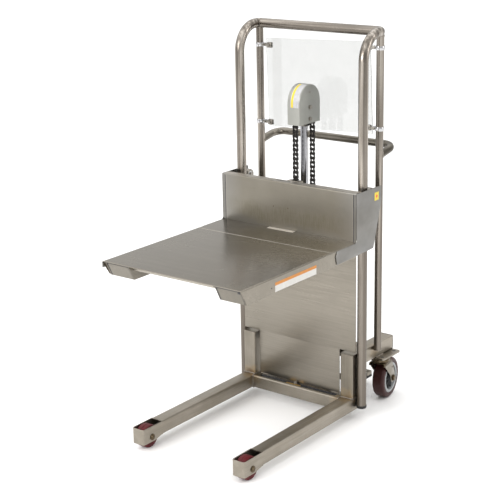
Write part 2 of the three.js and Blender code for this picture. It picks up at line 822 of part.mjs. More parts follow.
function shield() {
  const guard = new THREE.Group();
  guard.position.set(0, REAR_Y, SHIELD_Z);
  guard.rotation.y = -SHIELD_TILT;
  truck.add(guard);
  const half = SHIELD_HEIGHT / 2;
  const sheet = block(-SHIELD_HALF, SHIELD_HALF, -1.5, 1.5, -half, half);
  add("clear_shield", sheet, finish.clear(), guard);
  for (const { side, s } of SIDES) {
    CLAMP_Z[side].forEach((z, i) => {
      const [t0, t1] = span(s, SHIELD_HALF - 12, REAR_X - REAR_R - 1);
      const clamp = cut(
        union(
          post(s * REAR_X, REAR_Y, z - 7, z + 7, REAR_R + 2.6, 24),
          block(t0, t1, REAR_Y + 1.5 + GAP, REAR_Y + 5, z - 7, z + 7),
        ),
        post(s * REAR_X, REAR_Y, z - 8, z + 8, REAR_R + GAP, 24),
      );
      add(`shield_clamp_${side}_${i ? "upper" : "lower"}`, clamp, finish.stainless());
    });
  }
}

mast();
handle();
frontPanel();
legs();
crossMembers();
casters();
hydraulics();
head();
chain();
carriage();
shield();

export default truck;
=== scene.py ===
"""Looks of a stainless steel platform lift truck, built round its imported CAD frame.

Metres, +Z up, +Y towards the push handle, +X to the right as seen from the platform."""

import json
import math
import random

import bmesh
import bpy
from mathutils import Matrix, Vector


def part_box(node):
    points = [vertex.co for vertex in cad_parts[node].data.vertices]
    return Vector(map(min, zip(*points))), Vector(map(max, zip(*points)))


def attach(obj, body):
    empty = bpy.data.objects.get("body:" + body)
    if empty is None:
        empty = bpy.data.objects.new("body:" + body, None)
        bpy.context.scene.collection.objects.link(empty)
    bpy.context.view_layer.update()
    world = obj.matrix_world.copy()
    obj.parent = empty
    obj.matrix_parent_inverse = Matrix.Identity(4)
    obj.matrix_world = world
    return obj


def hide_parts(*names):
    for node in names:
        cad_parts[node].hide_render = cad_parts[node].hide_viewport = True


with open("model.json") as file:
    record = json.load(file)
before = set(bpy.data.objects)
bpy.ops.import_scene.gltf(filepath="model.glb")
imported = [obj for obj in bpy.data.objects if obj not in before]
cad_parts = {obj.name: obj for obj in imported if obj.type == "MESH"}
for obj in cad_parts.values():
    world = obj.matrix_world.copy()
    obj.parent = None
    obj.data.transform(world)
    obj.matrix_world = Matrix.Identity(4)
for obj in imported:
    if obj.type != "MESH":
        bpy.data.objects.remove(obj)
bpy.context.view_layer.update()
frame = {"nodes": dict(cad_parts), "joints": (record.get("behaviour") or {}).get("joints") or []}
JOINTS = {joint["name"]: joint for joint in frame["joints"]}

SHEET = 0.0025  # thickness of the folded deck and channels
X = Vector((1, 0, 0))
Y = Vector((0, 1, 0))
Z = Vector((0, 0, 1))
SIDES = {"left": -1, "right": 1}
dice = random.Random(11)


# ---- outlines and paths ----


def circle(radius, sides):
    """Corners of a flat regular polygon."""
    turns = [2 * math.pi * i / sides for i in range(sides)]
    return [(radius * math.cos(t), radius * math.sin(t)) for t in turns]


def arc(centre, radius, first, last, steps):
    """Points of a flat arc between two angles in degrees."""
    turns = [math.radians(first + (last - first) * i / steps) for i in range(steps + 1)]
    return [(centre[0] + radius * math.cos(t), centre[1] + radius * math.sin(t)) for t in turns]


def fillet(points, radius, closed=False, steps=6):
    """Rounds the corners of a line of points; radius is one number, or one for each point."""
    points = [Vector(p) for p in points]
    count = len(points)
    radii = radius if isinstance(radius, list) else [radius] * count
    line = []
    for i, corner in enumerate(points):
        if radii[i] <= 0 or (not closed and i in (0, count - 1)):
            line.append(corner)
            continue
        back = (points[i - 1] - corner).normalized()
        ahead = (points[(i + 1) % count] - corner).normalized()
        half = back.angle(ahead) / 2
        centre = corner + (back + ahead).normalized() * (radii[i] / math.sin(half))
        first = corner + back * (radii[i] / math.tan(half)) - centre
        last = corner + ahead * (radii[i] / math.tan(half)) - centre
        total = first.angle(last)
        for step in range(steps + 1):
            share = step / steps
            bent = first * math.sin((1 - share) * total) + last * math.sin(share * total)
            line.append(centre + bent / math.sin(total))
    return line


def rectangle(low, high):
    """Corners of a flat rectangle, anticlockwise."""
    return [(low[0], low[1]), (high[0], low[1]), (high[0], high[1]), (low[0], high[1])]


def rounded(low, high, radius, steps=4):
    """A rectangle with round corners; radius is one number, or one for each corner."""
    return fillet(rectangle(low, high), radius, True, steps)


def hat(low, high, bend, lip, steps):
    """Section of a sheet folded down on both sides of a box, with bends and slightly rounded lips."""
    outline = [(low.x, low.z), (low.x, high.z), (high.x, high.z), (high.x, low.z), (high.x - SHEET, low.z)]
    outline += [(high.x - SHEET, high.z - SHEET), (low.x + SHEET, high.z - SHEET), (low.x + SHEET, low.z)]
    return fillet(outline, [lip, bend, bend, lip, lip, bend / 2, bend / 2, lip], True, steps)


def mirrored(profile):
    """A lathe profile joined to its mirror image across the plane through the origin."""
    return profile + [(radius, -height) for radius, height in profile[::-1]]


def sided(s, near, far):
    """Two distances from the middle plane as a rising pair of x on the left or right side."""
    return sorted((s * near, s * far))


def lifted(outline, axis, level):
    """A flat outline as points in space, at a level along X, Y or Z (axis 0, 1 or 2)."""
    points = []
    for point in outline:
        place = list(point)
        place.insert(axis, level)
        points.append(Vector(place))
    return points


def hoop(low, high, axis, level, corner=0.0045):
    """A rectangle with round corners round a box, at a level along X, Y or Z."""
    flat = [i for i in range(3) if i != axis]
    return lifted(rounded([low[i] for i in flat], [high[i] for i in flat], corner), axis, level)


def around(centre, axis, radius, count=48):
    """Points of a circle in space."""
    side = axis.orthogonal().normalized()
    other = axis.cross(side).normalized()
    turns = [2 * math.pi * i / count for i in range(count)]
    return [centre + (side * math.cos(t) + other * math.sin(t)) * radius for t in turns]


# ---- solids ----


def loft(bm, rings, closed=False):
    """Skins a row of rings of points, and caps the row unless it closes on itself."""
    loops = [[bm.verts.new(p) for p in ring] for ring in rings]
    pairs = list(zip(loops, loops[1:]))
    if closed:
        pairs.append((loops[-1], loops[0]))
    for near, far in pairs:
        for i in range(len(near)):
            j = (i + 1) % len(near)
            bm.faces.new((near[i], near[j], far[j], far[i]))
    if not closed:
        bm.faces.new(loops[0][::-1])
        bm.faces.new(loops[-1])
    return [v for loop in loops for v in loop]


def sweep(bm, path, section, closed=False, side=None, scales=None):
    """Carries a flat section along a path in space without twisting it."""
    path = [Vector(p) for p in path]
    count = len(path)
    ways = []
    for i in range(count):
        ahead = path[(i + 1) % count] - path[i] if closed or i < count - 1 else path[i] - path[i - 1]
        behind = path[i] - path[i - 1] if closed or i else ahead
        ways.append((ahead.normalized() + behind.normalized()).normalized())
    side = (side or ways[0].orthogonal()).normalized()
    rings = []
    for i, (point, way) in enumerate(zip(path, ways)):
        if i:
            side = ways[i - 1].rotation_difference(way) @ side
        side = (side - way * side.dot(way)).normalized()
        other = way.cross(side)
        size = scales[i] if scales else 1
        rings.append([point + side * (a * size) + other * (b * size) for a, b in section])
    return loft(bm, rings, closed)


def lathe(bm, profile, origin, axis=X, sides=56):
    """Turns a closed profile of (radius, height) points about an axis through the origin."""
    axis = axis.normalized()
    side = axis.orthogonal().normalized()
    other = axis.cross(side)
    rings = []
    for i in range(sides):
        turn = 2 * math.pi * i / sides
        way = side * math.cos(turn) + other * math.sin(turn)
        rings.append([origin + axis * height + way * radius for radius, height in profile])
    made = loft(bm, rings, closed=True)
    bmesh.ops.remove_doubles(bm, verts=made, dist=1e-7)


def rod(bm, radius, start, end, origin, axis=X, sides=28):
    """A plain round rod between two heights along an axis."""
    lathe(bm, [(0, start), (radius, start), (radius, end), (0, end)], origin, axis, sides)


def prism(bm, outline, axis, low, high, bevel=0.0, segments=2, angle=35):
    """Extrudes a flat outline along X, Y or Z (axis 0, 1 or 2) and rounds its sharp edges."""
    own = bmesh.new()
    loft(own, [lifted(outline, axis, level) for level in (low, high)])
    if bevel:
        soften(own, bevel, segments, angle)
    merge(bm, own)


def slab(bm, low, high, bevel=0.0006, segments=2):
    """A box between two corners, with rounded edges."""
    prism(bm, rectangle(low[:2], high[:2]), 2, low[2], high[2], bevel, segments)


def soften(bm, width, segments=2, angle=35):
    """Rounds every edge that turns by more than an angle in degrees."""
    bmesh.ops.recalc_face_normals(bm, faces=bm.faces)
    sharp = [e for e in bm.edges if len(e.link_faces) == 2 and e.calc_face_angle(0) > math.radians(angle)]
    bmesh.ops.bevel(
        bm, geom=sharp, offset=width, segments=segments, profile=0.6, affect="EDGES", clamp_overlap=True
    )


def merge(bm, own):
    """Adds one mesh to another and frees it."""
    carried = bpy.data.meshes.new("carried")
    bmesh.ops.recalc_face_normals(own, faces=own.faces)
    own.to_mesh(carried)
    own.free()
    bm.from_mesh(carried)
    bpy.data.meshes.remove(carried)


def refined(bm, node, bevel, segments=2, angle=35):
    """A CAD node's own shape with its facets joined and its edges rounded."""
    own = bmesh.new()
    own.from_mesh(frame["nodes"][node].data)
    bmesh.ops.remove_doubles(own, verts=own.verts, dist=1e-5)
    bmesh.ops.dissolve_limit(own, angle_limit=math.radians(1), verts=own.verts, edges=own.edges)
    soften(own, bevel, segments, angle)
    merge(bm, own)


def box_tube(bm, node, axis, radius=0.0045, wall=0.003):
    """A square tube with rounded edges and open ends, in a CAD node's box, along X, Y or Z."""
    low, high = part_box(node)
    flat = [i for i in range(3) if i != axis]
    outer = rounded([low[i] for i in flat], [high[i] for i in flat], radius)
    middle = Vector((sum(p[0] for p in outer), sum(p[1] for p in outer))) / len(outer)
    half = max((p - middle)[0] for p in outer)
    inner = [middle + (p - middle) * (1 - wall / half) for p in outer]
    stations = [(inner, low), (outer, low), (outer, high), (inner, high)]
    loft(bm, [lifted(ring, axis, end[axis]) for ring, end in stations], closed=True)


def bolt(bm, centre, axis, across=0.013, height=0.0055, washer=1.25):
    """A hex head with a chamfered top, standing on a washer."""
    axis = axis.normalized()
    thick = 0.0014
    if washer:
        rim = across / 2 * washer
        disc = [(0, 0), (rim, 0), (rim, thick * 0.8), (rim - 0.0003, thick), (0, thick)]
        lathe(bm, disc, centre, axis, 32)
    side = axis.orthogonal().normalized()
    other = axis.cross(side)
    point = across / math.sqrt(3)
    rings = []
    for radius, level in ((point, thick), (point, thick + height * 0.82), (point * 0.88, thick + height)):
        rings.append([centre + axis * level + side * a + other * b for a, b in circle(radius, 6)])
    loft(bm, rings)


def turned(bm, matrix):
    bmesh.ops.transform(bm, matrix=matrix, verts=bm.verts)


def piece(name, bm, look, body, *stands_for, smooth=38):
    """Makes a named piece that rides on a CAD body and stands for CAD nodes."""
    material = LOOK[look]
    mesh = bpy.data.meshes.new(name)
    bmesh.ops.recalc_face_normals(bm, faces=bm.faces)
    bm.to_mesh(mesh)
    bm.free()
    mesh.polygons.foreach_set("use_smooth", [True] * len(mesh.polygons))
    mesh.set_sharp_from_angle(angle=math.radians(smooth))
    mesh.materials.append(material)
    obj = bpy.data.objects.new(name, mesh)
    bpy.context.scene.collection.objects.link(obj)
    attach(obj, body)
    if stands_for:
        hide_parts(*stands_for)


def block(name, look, body, low, high, bevel=0.0, *stands_for):
    """A piece that is one slab."""
    bm = bmesh.new()
    slab(bm, low, high, bevel)
    piece(name, bm, look, body, *stands_for)


def weld(name, path, body, radius=0.0024, closed=False):
    """A weld bead: a thin cord of overlapping ripples along a path."""
    ripple = 0.0032
    step = ripple / 4
    path = [Vector(p) for p in path]
    ends = path[1:] + ([path[0]] if closed else [])
    line = []
    for start, end in zip(path, ends):
        count = max(1, round((end - start).length / step))
        line += [start.lerp(end, i / count) for i in range(count)]
    if not closed:
        line.append(path[-1])
    scales = []
    for i in range(len(line)):
        wave = abs(math.sin(math.pi * i / 4))
        taper = 1 if closed else min(1, 0.55 + 0.15 * min(i, len(line) - 1 - i))
        scales.append(taper * (0.86 + 0.2 * wave + dice.uniform(-0.04, 0.04)))
    bm = bmesh.new()
    sweep(bm, line, circle(radius, 8), closed, scales=scales)
    piece(name, bm, "weld", body, smooth=60)


# ---- materials ----


class Shader:
    """A Principled material and short ways to add nodes to it. Coordinates are the object's own."""

    def __init__(self, name, slot, metallic=0.0, **sockets):
        self.material = bpy.data.materials.new(name)
        self.material.use_nodes = True
        self.material["slot"] = slot
        self.tree = self.material.node_tree
        self.surface = self.tree.nodes["Principled BSDF"]
        self.surface.inputs["Metallic"].default_value = metallic
        for socket, value in sockets.items():
            self.surface.inputs[socket.replace("_", " ")].default_value = value
        self.place = self.node("ShaderNodeTexCoord").outputs["Object"]

    def node(self, kind, inputs=None, **settings):
        made = self.tree.nodes.new(kind)
        for setting, value in settings.items():
            setattr(made, setting, value)
        for key, value in (inputs or {}).items():
            if isinstance(value, bpy.types.NodeSocket):
                self.tree.links.new(value, made.inputs[key])
            else:
                made.inputs[key].default_value = value
        return made

    def noise(self, scale, detail=3.0, stretch=None, rough=0.55):
        place = self.place
        if stretch:
            place = self.node("ShaderNodeMapping", {"Vector": place, "Scale": stretch}).outputs[0]
        made = self.node(
            "ShaderNodeTexNoise", {"Vector": place, "Scale": scale, "Detail": detail, "Roughness": rough}
        )
        return made.outputs[0]

    def span(self, value, low, high, start=0.3, end=0.7):
        """Maps a value between start and end to between low and high."""
        made = self.node(
            "ShaderNodeMapRange",
            {"Value": value, "From Min": start, "From Max": end, "To Min": low, "To Max": high},
        )
        return made.outputs[0]

    def mix(self, share, first, second):
        made = self.node("ShaderNodeMix", data_type="RGBA")
        for index, value in ((0, share), (6, first), (7, second)):
            if isinstance(value, bpy.types.NodeSocket):
                self.tree.links.new(value, made.inputs[index])
            elif index:
                made.inputs[index].default_value = (*value, 1)
            else:
                made.inputs[0].default_value = value
        return made.outputs[2]

    def math(self, operation, first, second):
        return self.node("ShaderNodeMath", {0: first, 1: second}, operation=operation).outputs[0]

    def heat(self, colour, points, radius):
        """Straw and brown heat tint round weld points."""
        for point in points:
            away = self.node(
                "ShaderNodeVectorMath", {0: self.place, 1: Vector(point)}, operation="DISTANCE"
            ).outputs["Value"]
            ragged = self.math("ADD", away, self.span(self.noise(55.0), -0.3 * radius, 0.3 * radius))
            straw = self.span(ragged, 0.42, 0.0, radius * 0.35, radius)
            brown = self.span(ragged, 0.5, 0.0, radius * 0.1, radius * 0.55)
            colour = self.mix(straw, colour, (0.36, 0.27, 0.15))
            colour = self.mix(brown, colour, (0.12, 0.09, 0.075))
        return colour

    def finish(self, colour, roughness, bump=None, strength=0.1, distance=0.0005):
        self.tree.links.new(colour, self.surface.inputs["Base Color"])
        self.tree.links.new(roughness, self.surface.inputs["Roughness"])
        if bump:
            made = self.node("ShaderNodeBump", {"Height": bump, "Strength": strength, "Distance": distance})
            self.tree.links.new(made.outputs[0], self.surface.inputs["Normal"])
        return self.material


def scaled(tone, factor, lift=0.0, top=1.0):
    """A colour made lighter or darker, no channel above a top value."""
    return tuple(min(top, factor * t + lift) for t in tone)


def steel(
    name,
    slot,
    tones,
    roughness,
    grain,
    heat=(),
    cloud=7.0,
    strength=0.12,
    streaky=0.15,
    brush=0.22,
    smudge=0.35,
    darker_rougher_foot=False,
):
    """Stainless steel: two cloudy tones, a brushed grain, streaks of uneven polish that also paint
    reflections, smudges and heat tint.
    """
    shader = Shader(name, slot, metallic=1.0)
    clouds = shader.noise(cloud, 4.0)
    brushed = shader.noise(1.0, 2.0, grain)
    streaks = shader.noise(1.0, 2.0, [0.15 * g for g in grain])
    smudges = shader.noise(23.0, 5.0, rough=0.7)
    colour = shader.mix(shader.span(clouds, 0.0, 1.0), tones[0], tones[1])
    colour = shader.mix(shader.span(brushed, 0.0, brush), colour, scaled(tones[0], 0.6))
    # Light and dark streaks along the grain: partly uneven polish, partly painted reflections of the
    # surroundings.
    dark_streak_painted_reflection = shader.span(streaks, 0.0, streaky, 0.46, 0.6)
    light_streak_painted_reflection = shader.span(streaks, streaky, 0.0, 0.36, 0.48)
    colour = shader.mix(dark_streak_painted_reflection, colour, scaled(tones[0], 0.42))
    colour = shader.mix(light_streak_painted_reflection, colour, scaled(tones[1], 1.45, 0.04, 0.8))
    colour = shader.mix(shader.span(smudges, 0.0, smudge, 0.55, 0.75), colour, scaled(tones[1], 0.7))
    colour = shader.heat(colour, heat, 0.04)
    rough = shader.span(clouds, roughness, roughness + 0.08)
    rough = shader.math("ADD", shader.span(brushed, -0.25 * brush, 0.3 * brush), rough)
    rough = shader.math("ADD", rough, shader.span(smudges, 0.0, 0.23 * smudge, 0.5, 0.75))
    if darker_rougher_foot:
        # Towards the foot of the mast the colour turns darker and the surface rougher.
        height = shader.node("ShaderNodeSeparateXYZ", {0: shader.place}).outputs["Z"]
        colour = shader.mix(shader.span(height, 0.75, 0.0, 0.35, 0.95), colour, scaled(tones[0], 0.72))
        rough = shader.math("ADD", rough, shader.span(height, 0.12, 0.0, 0.35, 0.95))
    return shader.finish(colour, rough, brushed, strength)


def mottled(name, slot, tones, roughness, scale, metallic=0.0, strength=0.15, distance=0.0004, **sockets):
    """A plain painted, moulded or rubbed surface with two tones, fine grain and a light orange peel."""
    shader = Shader(name, slot, metallic, **sockets)
    clouds = shader.noise(scale, 4.0)
    grain = shader.noise(scale * 14, 3.0)
    colour = shader.mix(shader.span(clouds, 0.0, 1.0), tones[0], tones[1])
    dust = shader.span(grain, 0.0, 0.25, 0.6, 0.8)
    colour = shader.mix(dust, colour, scaled(tones[1], 1.5, 0.01))
    rough = shader.span(clouds, roughness - 0.04, roughness + 0.06)
    rough = shader.math("ADD", rough, shader.span(grain, -0.04, 0.05))
    return shader.finish(colour, rough, grain, strength, distance)


def welded_points(corner):
    """Joints of the base and mast, where the metal keeps some heat tint."""
    tube_low, tube_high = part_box("rear_tube_right")
    tube = (tube_low + tube_high) / 2
    points = []
    for s in SIDES.values():
        for out, along in ((0, -0.05), (0.027, -0.035), (0.05, 0.01)):
            points.append((s * (corner.x + out), corner.y + along, corner.z))
        points.append((s * tube.x, tube.y, tube_low.z + 0.002))
    return points


def make_looks():
    """Every finish by a short name. Steel has a dark and a light tone; stock and sheet are CAD slots."""
    tube = ((0.24, 0.21, 0.178), (0.33, 0.30, 0.265))
    mill = ((0.235, 0.212, 0.172), (0.335, 0.305, 0.26))
    flat = ((0.265, 0.243, 0.205), (0.305, 0.28, 0.24))
    dark = ((0.215, 0.195, 0.163), (0.265, 0.243, 0.205))
    hard = ((0.22, 0.22, 0.23), (0.34, 0.34, 0.355))
    clean = ((0.205, 0.198, 0.183), (0.28, 0.28, 0.275))
    arm = ((0.27, 0.243, 0.198), (0.38, 0.345, 0.295))
    folded = ((0.22, 0.203, 0.172), (0.255, 0.235, 0.20))
    dull = ((0.115, 0.102, 0.082), (0.17, 0.155, 0.13))
    stock, sheet, links = "stainless", "stainless_sheet", "chain_steel"
    along_x = (9.0, 420.0, 420.0)
    along_y = (420.0, 9.0, 420.0)
    along_z = (420.0, 420.0, 9.0)
    level = (9.0, 9.0, 420.0)
    all_ways = (60.0, 60.0, 60.0)
    welds = welded_points(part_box("front_cross_member")[1])
    looks = {
        "tube": steel("polished_tube", stock, tube, 0.22, along_z, cloud=5.0, streaky=0.75, darker_rougher_foot=True),
        "bar": steel("polished_bar", stock, tube, 0.22, level, cloud=5.0, streaky=0.7),
        "handle": steel("dull_handle", stock, dull, 0.25, level, cloud=5.0, streaky=0.6),
        "mill_y": steel("mill_tube_along_y", stock, arm, 0.36, along_y, welds, streaky=0.05),
        "mill_x": steel("mill_tube_along_x", stock, mill, 0.36, along_x, welds, streaky=0.05),
        "mill_z": steel("mill_tube_along_z", stock, mill, 0.36, along_z, welds, streaky=0.05),
        "deck": steel("deck_sheet", sheet, dark, 0.22, along_x, (), 4.0, 0.004, 0.04, 0.05, 0.06),
        "panel": steel("panel_sheet", sheet, flat, 0.3, along_x, (), 3.0, 0.02, 0.02, smudge=0.15),
        "channel": steel("channel_sheet", sheet, folded, 0.36, along_y, strength=0.05, streaky=0.03),
        "plate": steel("dressed_plate", sheet, clean, 0.36, (8.0, 8.0, 20.0), (), 6.0, 0.04, 0.03),
        "stamped": steel("stamped_steel", sheet, mill, 0.3, all_ways, cloud=20.0),
        "rod": steel("chromed_rod", "chrome", hard, 0.12, (900.0, 900.0, 9.0), strength=0.02, streaky=0.8),
    }
    # Material name, slot, dark tone, light tone, roughness, scale of the mottling, metal, relief.
    table = {
        "weld": ("weld_metal", stock, (0.17, 0.15, 0.125), (0.33, 0.30, 0.26), 0.36, 160.0, 1.0),
        "bolts": ("bolt_steel", stock, (0.22, 0.205, 0.18), (0.33, 0.31, 0.28), 0.32, 90.0, 1.0),
        # Dark bronze: the axles' own colour, and on the caster's raceway and crown a painted shade under
        # the plate.
        "axle": ("bronzed_axle", stock, (0.07, 0.05, 0.03), (0.16, 0.125, 0.08), 0.34, 120.0, 1.0),
        # A pale sheet: it paints highlights on the deck's ridge and the back plate's top and ends, and
        # colours the bar under the deck.
        "crease": ("crease_sheet", sheet, (0.34, 0.315, 0.275), (0.42, 0.39, 0.345), 0.45, 30.0, 0.9),
        "strip": ("bright_strip", sheet, (0.52, 0.48, 0.42), (0.6, 0.56, 0.5), 0.5, 60.0, 0.5),
        "chrome": ("chromed_steel", "chrome", (0.46, 0.46, 0.47), (0.58, 0.58, 0.59), 0.1, 40.0, 1.0, 0.03),
        "chain": ("oiled_chain_steel", links, (0.012, 0.011, 0.01), (0.03, 0.027, 0.024), 0.38, 120.0, 0.6),
        "cap": ("cap_grey", sheet, (0.265, 0.269, 0.247), (0.315, 0.318, 0.292), 0.36, 14.0, 0.45, 0.1),
        "hub": ("hub_grey", "wheel_hub", (0.26, 0.275, 0.28), (0.34, 0.355, 0.36), 0.42, 30.0),
        # Near black: the wheels' own cores, and thin dark pieces that paint the shade in gaps, seams, slots
        # and holes.
        "core": ("hub_core", "wheel_hub", (0.02, 0.02, 0.021), (0.05, 0.05, 0.052), 0.55, 60.0),
        "enamel": ("black_enamel", "ram_paint", (0.012, 0.012, 0.013), (0.02, 0.02, 0.022), 0.3, 12.0),
        "rubber": ("black_rubber", "black_rubber", (0.01, 0.01, 0.01), (0.022, 0.022, 0.022), 0.72, 70.0),
        "bronze": ("bronze", "bronze", (0.42, 0.27, 0.09), (0.55, 0.38, 0.15), 0.4, 60.0, 1.0),
        "white": ("label_white", "label", (0.52, 0.51, 0.48), (0.58, 0.57, 0.54), 0.42, 50.0),
        "silver": ("label_silver", "label", (0.40, 0.40, 0.41), (0.50, 0.50, 0.51), 0.35, 90.0, 0.3),
        "orange": ("label_orange", "label", (0.46, 0.165, 0.018), (0.52, 0.20, 0.025), 0.42, 50.0),
        "yellow": ("label_yellow", "label", (0.60, 0.46, 0.02), (0.66, 0.52, 0.04), 0.42, 50.0),
        "red_ink": ("label_red", "label", (0.62, 0.07, 0.03), (0.7, 0.1, 0.04), 0.42, 50.0),
    }
    for look, (name, slot, first, second, *finish) in table.items():
        looks[look] = mottled(name, slot, (first, second), *finish)
    tread = ((0.026, 0.006, 0.005), (0.042, 0.010, 0.009))
    looks["tread"] = mottled("maroon_tread", "caster_tread", tread, 0.42, 25.0, Specular_IOR_Level=0.3)
    red = ((0.06, 0.006, 0.008), (0.10, 0.010, 0.013))
    looks["red"] = mottled("red_polyurethane", "load_wheel", red, 0.42, 40.0, Specular_IOR_Level=0.2)
    clear = Shader("clear_acrylic", "clear_sheet", Transmission_Weight=1.0, IOR=1.49)
    haze = clear.noise(30.0, 4.0)
    tint = clear.mix(clear.span(haze, 0.0, 1.0), (0.665, 0.67, 0.665), (0.69, 0.694, 0.69))
    looks["clear"] = clear.finish(tint, clear.span(haze, 0.03, 0.07), clear.noise(900.0), 0.02, 0.0001)
    return looks


def stained_sheet():
    """Back plate finish: dull stains with short upright runs along its foot, and cleaner ends."""
    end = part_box("back_plate")[1].x
    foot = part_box("platform_deck")[1].z
    shader = Shader("stained_sheet", "stainless_sheet", metallic=1.0)
    parts = shader.node("ShaderNodeSeparateXYZ", {0: shader.place}).outputs
    clouds = shader.noise(6.0, 4.0)
    brushed = shader.noise(1.0, 2.0, (9.0, 420.0, 420.0))
    runs = shader.noise(1.0, 3.0, (260.0, 260.0, 25.0))
    ragged = shader.math("ADD", parts["Z"], shader.span(clouds, -0.02, 0.02))
    above = shader.span(ragged, 0.0, 1.0, foot + 0.012, foot + 0.035)
    below = shader.span(ragged, 1.0, 0.0, foot + 0.060, foot + 0.085)
    across = shader.math("ABSOLUTE", parts["X"], 0.0)
    inside = shader.span(shader.math("ADD", across, shader.span(clouds, -0.05, 0.05)), 1.0, 0.0, 0.15, 0.24)
    band = shader.math("MULTIPLY", shader.math("MULTIPLY", above, below), inside)
    streaky = shader.math("MULTIPLY", band, shader.span(runs, 0.25, 1.0, 0.42, 0.6))
    colour = shader.mix(shader.span(clouds, 0.0, 1.0), (0.21, 0.193, 0.16), (0.25, 0.232, 0.195))
    ends = shader.span(across, 0.0, 0.6, 0.19, end)
    ends = shader.math("MAXIMUM", ends, shader.span(ragged, 0.4, 0.0, foot, foot + 0.03))
    colour = shader.mix(ends, colour, (0.285, 0.283, 0.275))
    colour = shader.mix(shader.math("MULTIPLY", streaky, 0.38), colour, (0.13, 0.115, 0.06))
    rough = shader.math("ADD", shader.span(brushed, 0.32, 0.42), shader.math("MULTIPLY", band, 0.12))
    return shader.finish(colour, rough, brushed, 0.06)


LOOK = make_looks()
LOOK["stained"] = stained_sheet()

# ---- mast and handle ----

MAST_BEND = 0.092  # centreline radius of the front tubes' bends
MITRE = 0.0176  # centreline radius of the ground corner between a mast tube and the top bar


def mast():
    """Two bent front tubes joined by a top bar, and two rear tubes that end under the bends."""
    bar_low, bar_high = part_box("mast_top_bar")
    bar_y = (bar_low.y + bar_high.y) / 2
    bar_z = (bar_low.z + bar_high.z) / 2
    radius = (bar_high.z - bar_low.z) / 2
    ends = {}
    for side, s in SIDES.items():
        low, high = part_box(f"mast_tube_{side}")
        x = (low.x + high.x) / 2
        y = low.y + radius
        ends[side] = Vector((x - s * MITRE, bar_y, bar_z))
        corners = [(x, y, low.z), (x, y, bar_z), (x, bar_y, bar_z), ends[side]]
        bm = bmesh.new()
        sweep(bm, fillet(corners, [0, MAST_BEND, MITRE - 1e-5, 0], steps=16), circle(radius, 48))
        piece(f"{side}_mast_tube", bm, "tube", "frame", f"mast_tube_{side}")
        weld(f"{side}_corner_weld", around(ends[side], X, radius - 0.0013, 40), "frame", 0.0012, True)

        bm = bmesh.new()
        rim = radius + 0.0012
        plug = [(0, -0.012), (rim * 0.7, -0.012), (rim * 0.94, -0.010), (rim, -0.006), (rim, -0.0003)]
        lathe(bm, [*plug, (0.004, 0.002), (0, 0.002)], Vector((x, y, low.z)), Z, 40)
        piece(f"{side}_mast_plug", bm, "rubber", "frame")

        rear_low, rear_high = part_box(f"rear_tube_{side}")
        rear_r = (rear_high.x - rear_low.x) / 2
        rear_x = (rear_low.x + rear_high.x) / 2
        foot, top = rear_low.z, bar_z - 0.01
        bm = bmesh.new()
        profile = [(0, foot), (rear_r - 0.002, foot), (rear_r, foot + 0.002), (rear_r, top), (0, top)]
        lathe(bm, profile, Vector((rear_x, bar_y, 0)), Z, 44)
        piece(f"{side}_rear_tube", bm, "tube", "frame", f"rear_tube_{side}")
        saddle = []
        for point in around(Vector((rear_x, bar_y, 0)), Z, rear_r, 40):
            drop = math.sqrt(radius**2 - (point.y - bar_y) ** 2)
            saddle.append(Vector((point.x, point.y, bar_z - drop)))
        weld(f"{side}_rear_tube_top_weld", saddle, "frame", 0.0017, True)

    bm = bmesh.new()
    sweep(bm, [ends["left"], ends["right"]], circle(radius, 48))
    piece("top_bar", bm, "bar", "frame", "mast_top_bar")


def handle():
    """The push handle: a bent tube that slopes down to the rear tubes."""
    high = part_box("push_handle")[1]
    tube_low, tube_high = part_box("rear_tube_right")
    radius = (tube_high.x - tube_low.x) / 2
    root_y = (tube_low.y + tube_high.y) / 2
    grip = Vector((0, high.y - radius, high.z - radius))
    tilt = math.tan(math.radians(11))
    root_z = grip.z - (grip.y - root_y) * tilt
    x = high.x - radius
    corners = [(-x, root_y, root_z), (-x, grip.y, grip.z), (x, grip.y, grip.z), (x, root_y, root_z)]
    bm = bmesh.new()
    sweep(bm, fillet(corners, 0.04, steps=14), circle(radius, 44))
    piece("handle_tube", bm, "handle", "frame", "push_handle")
    for side, s in SIDES.items():
        saddle = []
        for point in around(Vector((s * x, root_y, root_z)), Y, radius, 40):
            out = math.sqrt(max(radius**2 - (point.x - s * x) ** 2, 0)) * 0.98
            saddle.append(Vector((point.x, root_y + out, point.z + out * tilt)))
        weld(f"{side}_handle_weld", saddle, "frame", 0.0017, True)


# ---- base ----

LEG_WALL = 0.003
LEG_CORNER = 0.009  # outer radius of the wheel guard's corners, seen from above


